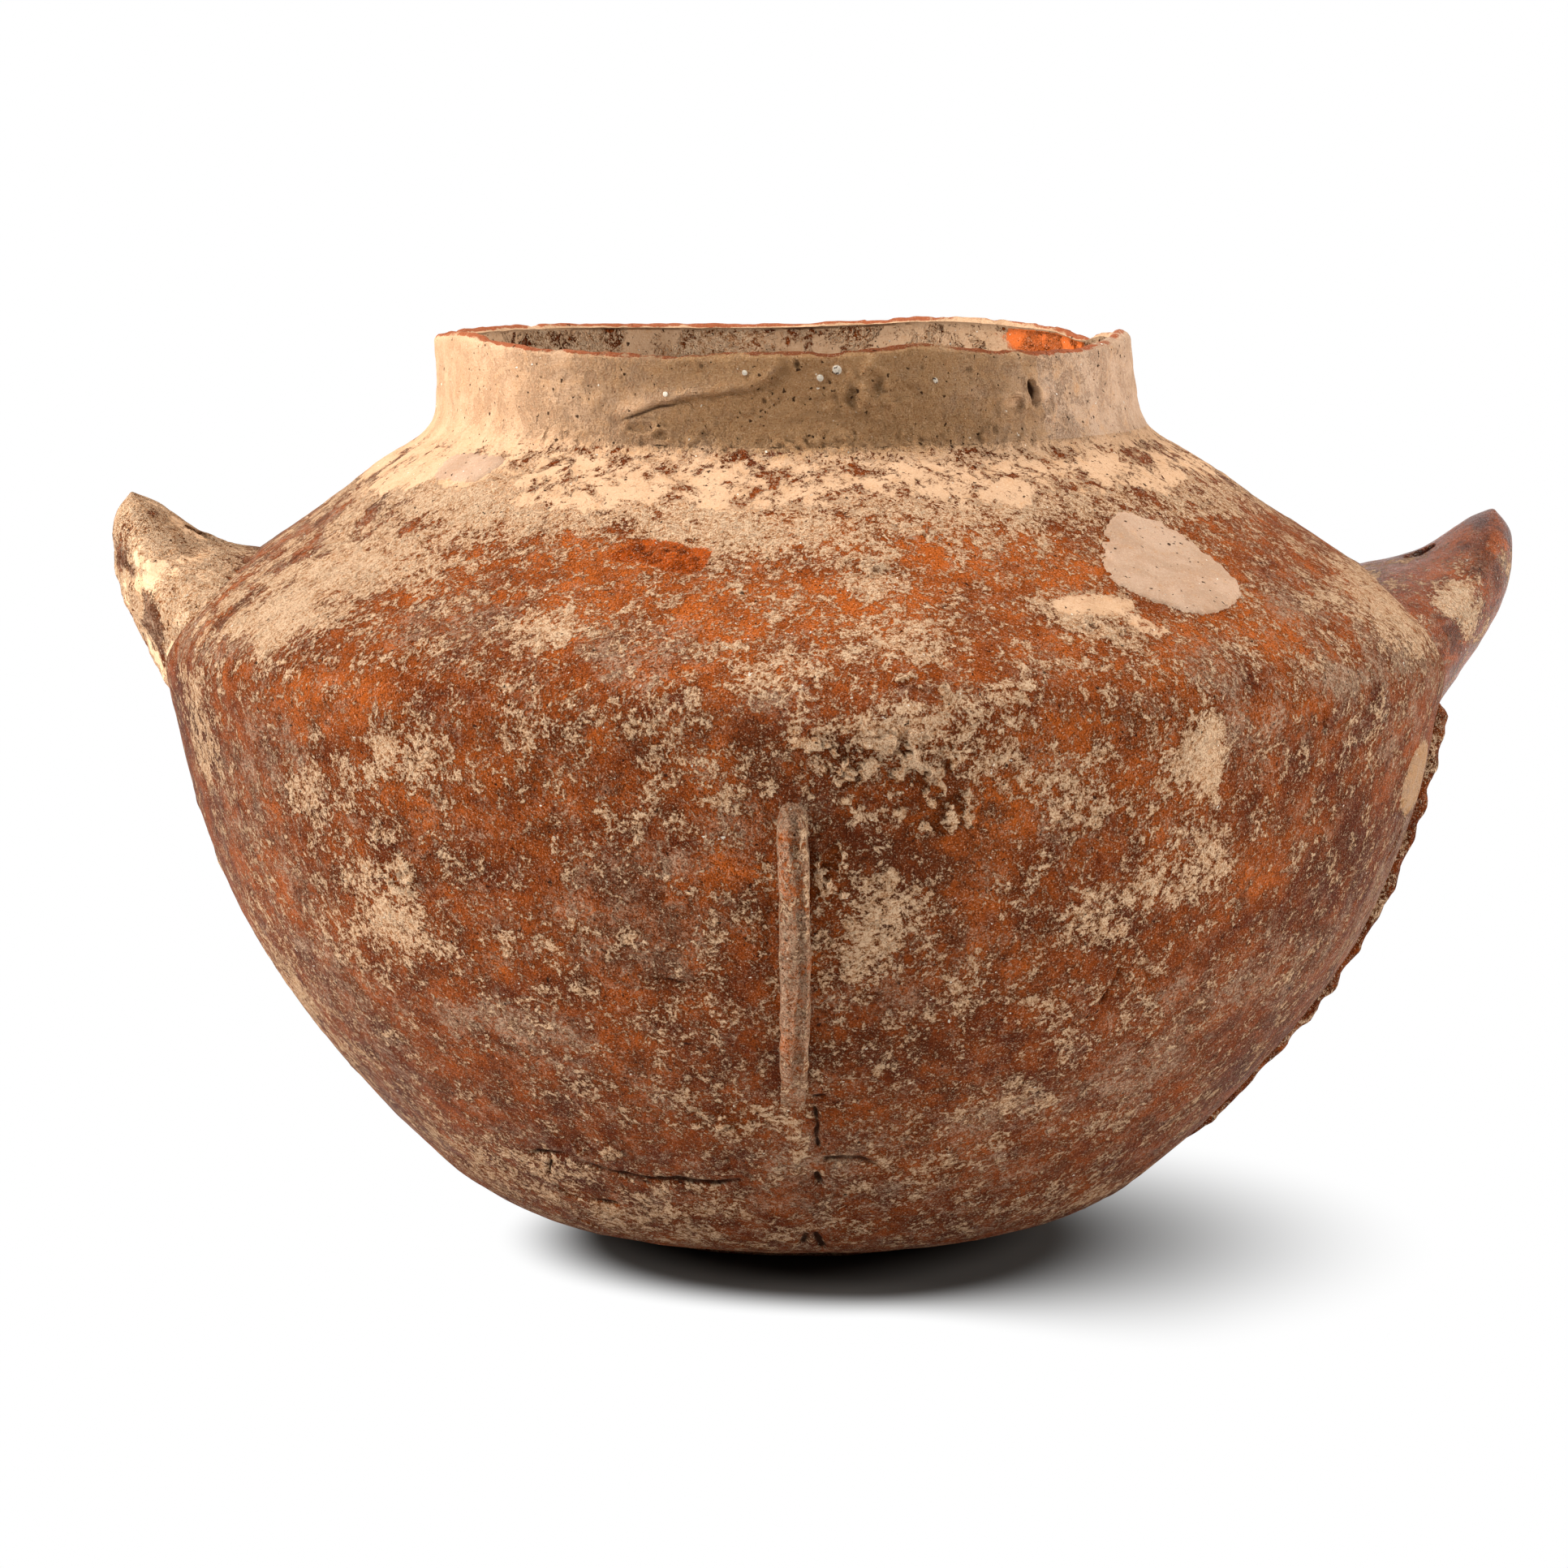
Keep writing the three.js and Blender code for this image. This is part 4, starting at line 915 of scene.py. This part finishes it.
def surface_at(azimuth, height):
    """The place on the jar's outer form, and its directions outward, around and uphill."""
    turn = np.radians(azimuth)

    def place(level):
        radius = np.interp(level, outer_line[:, 1], outer_line[:, 0])
        return hand_built(np.column_stack([radius * np.sin(turn), -radius * np.cos(turn), level]))

    uphill = place(height + 1) - place(height - 1)
    uphill /= np.linalg.norm(uphill, axis=1)[:, None]
    around = np.column_stack([np.cos(turn), np.sin(turn), 0 * turn])
    outward = np.cross(around, uphill)
    return place(height), outward / np.linalg.norm(outward, axis=1)[:, None], around, uphill


def rib(name, azimuth, top, foot, proud, beads, groove):
    """A strip bent from a flat bar: beaded, grooved, blunt on top and fading out at its foot."""
    rows = round((top - foot) / RIB_GRAIN)
    piece = started(name, bpy.ops.mesh.primitive_grid_add, x_subdivisions=26, y_subdivisions=rows, size=2)
    applied(piece, "SOLIDIFY", thickness=1, offset=-1, use_even_offset=False)
    flat = points_of(piece) * MM
    back = flat[:, 2] > -0.5
    level = foot + (flat[:, 1] + 1) / 2 * (top - foot)
    angle = flat[:, 0] * math.pi / 2
    across = np.sin(angle)
    ends = np.minimum(RIB_BLUNT + (top - level) / RIB_SET_ON, RIB_TAIL + (level - foot) / RIB_FADE_OUT)
    ends = np.minimum(1, ends)
    blunt = np.sqrt(np.clip(1 - (1 - np.clip((top - level) / 3.4, 0, 1)) ** 2, 0.02, 1))
    spine = np.column_stack([0 * level + azimuth, 0 * level, level])
    wander = lumps(spine, 17, 51, 2)
    wave = np.sin((top - level) * 2 * math.pi / BEAD_PITCH + 2 * wander)
    bead = 1 + beads * wave * (0.9 + 0.9 * lumps(spine, 10, 52))
    half = RIB_WIDTH / 2 * (1 - RIB_NARROWING * (1 - ends)) * (0.4 + 0.6 * blunt)
    ditch = groove * np.clip(1 - np.abs(across - 0.22 - 0.25 * wander) / 0.28, 0, 1)
    out = proud * bead * np.abs(np.cos(angle)) ** RIB_SQUARENESS * (0.35 + 0.65 * blunt)
    out = np.where(back, (out - ditch * ends) * ends, -RIB_SINK)
    place, outward, around, _ = surface_at(np.full(len(level), float(azimuth)), level)
    aside = across * half + 0.35 * wander
    put_points(piece, place + around * aside[:, None] + outward * out[:, None])
    in_edit(lambda: bpy.ops.mesh.normals_make_consistent(inside=False))
    return piece


def rib_look(p, story):
    front = eased(-p[:, 1], 60, 90) * (1 - eased(np.abs(p[:, 0]), 8, 12))
    run = np.column_stack([p[:, 0], p[:, 1], p[:, 2] * 0.35])
    story["lime"][:] = 0.5 - 0.1 * front + 0.45 * lumps(run, 5, 61, 2)
    story["film"][:] = 0.3 + 0.75 * front + 0.45 * lumps(run, 4, 64, 2)
    story["glow"][:] = 0.1 + 0.7 * front
    story["brown"][:] = 0.6 - 0.55 * front
    story["paste"][:] = 0
    return 0.4 * lumps(p, 3.0, 62, 3) - 0.1


rib_clay = crusted_clay("rib_clay", gloss=0.7)
for node, *strip in (
    ("front_rib", "rib_front", -1, 112, 47, 4.1, 0.03, 1.1),
    ("right_rib", "rib_right", 91.5, 116, 14, 5.2, 0.06, 1.3),
    ("left_rib", "rib_left", -98.5, 99, 20, 4.6, 0.06, 1.3),
    ("back_rib", "rib_back", 179, 112, 49, 4.4, 0.03, 1.3),
):
    finished(roughened(rib(*strip), rib_look), rib_clay, "rib_clay", node)

# Small plaster fills
# Thin skins of pale plaster smeared into losses in the wall and shoulder, level with them and feathered out.
SHOULDER_FILL = (42.5, 152, [[1, 18], [9, 16], [14, 1], [12, -9], [-4, -15], [-13, -10], [-18, -2], [-13, 8]])
NECK_FILL_LEFT = (-51.5, 169.8, [[-9, 3.6], [0, 4.4], [9, 3.8], [8, -4.2], [0, -5], [-7, -4.4]])
WALL_FILL = (72, 104, [[-8, 6], [2, 8], [9, 2], [8, -6], [-4, -8], [-11, -2]])
SKIN_GRAIN, SKIN_DEPTH, SKIN_SUNK = 0.55, 2.2, 0.5


def plaster_skin(name, node, azimuth, height, outline, feather, dulled=0.0):
    """A skin of plaster that rises out of the surface inside a ragged outline, dulled towards the olive paste
    colour if asked.
    """
    outline = np.array(outline, float)
    ring = smooth_line(np.vstack([outline[-1:], outline, outline[:2]]), 12)[12:-12]
    low, high = ring.min(axis=0) - 3, ring.max(axis=0) + 3
    wide, tall = (max(round(span / SKIN_GRAIN), 8) for span in high - low)
    piece = started(name, bpy.ops.mesh.primitive_grid_add, x_subdivisions=wide, y_subdivisions=tall, size=2)
    applied(piece, "SOLIDIFY", thickness=1, offset=-1, use_even_offset=False)
    flat = points_of(piece) * MM
    front = flat[:, 2] > -0.5
    spot = low + (flat[:, :2] + 1) / 2 * (high - low)
    spot_on_jar = surface_at(np.array([azimuth], float), np.array([height], float))
    centre, outward, around, uphill = (rows[0] for rows in spot_on_jar)
    rough = centre + spot[:, :1] * around + spot[:, 1:] * uphill
    place = rough + outward * depth_of(rough)[:, None]
    place = place + outward * depth_of(place)[:, None]
    edge = np.linalg.norm(spot[:, None, :] - ring[None, ::3, :], axis=2).min(axis=1)
    reach = np.concatenate([ring, ring[:1]])
    turns = np.zeros(len(spot))
    for a, b in zip(reach[:-1], reach[1:]):
        crosses = (a[1] > spot[:, 1]) != (b[1] > spot[:, 1])
        where = a[0] + (spot[:, 1] - a[1]) / np.where(b[1] == a[1], 1, b[1] - a[1]) * (b[0] - a[0])
        turns += crosses & (spot[:, 0] < where)
    inside = np.where(turns % 2 == 1, edge, -edge) + feather * lumps(place, 5, 71, 3)
    story = surface_story(place, np.ones(len(place)))
    skin = relief(place, np.ones(len(place)), story) * (1 - 0.6 * eased(inside, 0, 3))
    raised = skin - SKIN_SUNK + 0.75 * eased(inside, -0.8, 1.2) + 0.06 * lumps(place, 6, 72, 2)
    put_points(piece, place + outward_of(place) * np.where(front, raised, -SKIN_DEPTH)[:, None])
    in_edit(lambda: bpy.ops.mesh.normals_make_consistent(inside=False))
    cover = eased(inside + 0.8 * lumps(place, 2.2, 73, 2), -0.6, 0.9)
    for layer, values in story.items():
        layer_of(piece, layer, values * (1 - cover))
    layer_of(piece, "paste", np.maximum(story["paste"], 0) * (1 - cover) + 1.15 * cover)
    layer_of(piece, "olive", story["olive"] * (1 - cover) + dulled * cover)
    finished(piece, plaster_fill, "plaster_fill", node)


plaster_skin("fill_shoulder", "shoulder_fill", *SHOULDER_FILL, 2.0)
plaster_skin("fill_collar_left", "neck_fill_left", *NECK_FILL_LEFT, 0.5)
plaster_skin("fill_wall", "wall_fill_right", *WALL_FILL, 1.2, 0.4)

# Floor, light and camera
# A plain pale floor with soft lamps above, to the left and to the right. To the camera the floor is white
# beyond a soft edge round the foot of the jar, and inside it a painted shadow: a near-black floor colour over
# the jar's own shadow.
FLOOR_COLOUR, SHADOW_COLOUR = (0.92, 0.92, 0.92), (0.06, 0.055, 0.05)
SHADOW_MIDDLE, SHADOW_REACH, SHADOW_SOFTNESS = (0.012, -0.01), 0.067, 0.012
REACH_TO_THE_RIGHT, SOFTNESS_TO_THE_RIGHT, RIGHT_AT = 0.012, 0.035, 0.07
WORLD_LIGHT = 0.26
CAMERA_PLACE, CAMERA_TILT, CAMERA_LENS = (-0.0042, -1.100, 0.246), 82.28, 117.71


def seen_rays(nodes):
    """1 for the camera and what it sees by gloss or through glass, 0 for the light of the scene."""
    rays = nodes.node("ShaderNodeLightPath").outputs
    mirrored = nodes.sum("MAXIMUM", rays["Is Glossy Ray"], rays["Is Transmission Ray"])
    return nodes.sum("MAXIMUM", rays["Is Camera Ray"], mirrored)


ground = started("floor", bpy.ops.mesh.primitive_plane_add, size=12, location=(0, 0, -0.0002))
f = Finish("floor_white_painted_shadow")
seen = seen_rays(f)
# Painted shadow: to the camera the floor is near black, and turns white only beyond the soft edge set below.
f.feed(f.blend(seen, FLOOR_COLOUR, SHADOW_COLOUR), "Principled BSDF", "Base Color")
f.constant("Roughness", 0.9)
f.constant("Specular IOR Level", 0.0)
middle = {"Vector": f.place, "Location": (-SHADOW_MIDDLE[0], -SHADOW_MIDDLE[1], 0)}
middle = f.node("ShaderNodeMapping", middle).outputs[0]
reach = f.node("ShaderNodeVectorMath", {0: middle}, operation="LENGTH").outputs["Value"]
rightward = f.step(f.node("ShaderNodeSeparateXYZ", {0: middle}).outputs["X"], 0, RIGHT_AT)
beyond = f.sum("SUBTRACT", reach, f.sum("MULTIPLY_ADD", rightward, REACH_TO_THE_RIGHT, SHADOW_REACH))
beyond = f.sum("DIVIDE", beyond, f.sum("MULTIPLY_ADD", rightward, SOFTNESS_TO_THE_RIGHT, SHADOW_SOFTNESS))
away = f.times(f.step(beyond, -1, 1), seen)
white = f.node("ShaderNodeEmission", {"Color": (1, 1, 1, 1), "Strength": 1.0}).outputs[0]
paper = f.tree.nodes["Principled BSDF"].outputs[0]
f.feed(f.node("ShaderNodeMixShader", {0: away, 1: paper, 2: white}).outputs[0], "Material Output", "Surface")
ground.data.materials.append(f.material)


def softbox(name, place, size, power):
    """A round soft lamp that points at the middle of the jar."""
    light = bpy.data.lights.new(name, "AREA")
    light.shape = "DISK"
    light.size = size
    light.energy = power
    lamp = bpy.data.objects.new(name, light)
    bpy.context.scene.collection.objects.link(lamp)
    lamp.location = place
    towards = Vector((0, 0, 0.11)) - Vector(place)
    lamp.rotation_euler = towards.to_track_quat("-Z", "Y").to_euler()


softbox("above", (-0.4, 0.05, 1.5), 0.45, 27)
softbox("left", (-1.35, -0.42, 0.6), 0.5, 32)
softbox("right", (1.4, -0.35, 0.6), 0.6, 27)

world = bpy.data.worlds.new("studio")
bpy.context.scene.world = world
sky = Nodes(world)
sky.tree.nodes["Background"].inputs["Color"].default_value = (1, 1, 1, 1)
strength = sky.node("ShaderNodeMapRange", {"Value": seen_rays(sky), "To Min": WORLD_LIGHT, "To Max": 1.0})
sky.feed(strength.outputs[0], "Background", "Strength")

camera_data = bpy.data.cameras.new("camera")
camera_data.sensor_fit = "HORIZONTAL"
camera_data.sensor_width = 36
camera_data.lens = CAMERA_LENS
camera = bpy.data.objects.new("camera", camera_data)
bpy.context.scene.collection.objects.link(camera)
camera.location = CAMERA_PLACE
camera.rotation_euler = (math.radians(CAMERA_TILT), 0, 0)
bpy.context.scene.camera = camera
bpy.context.scene.view_settings.view_transform = "Standard"
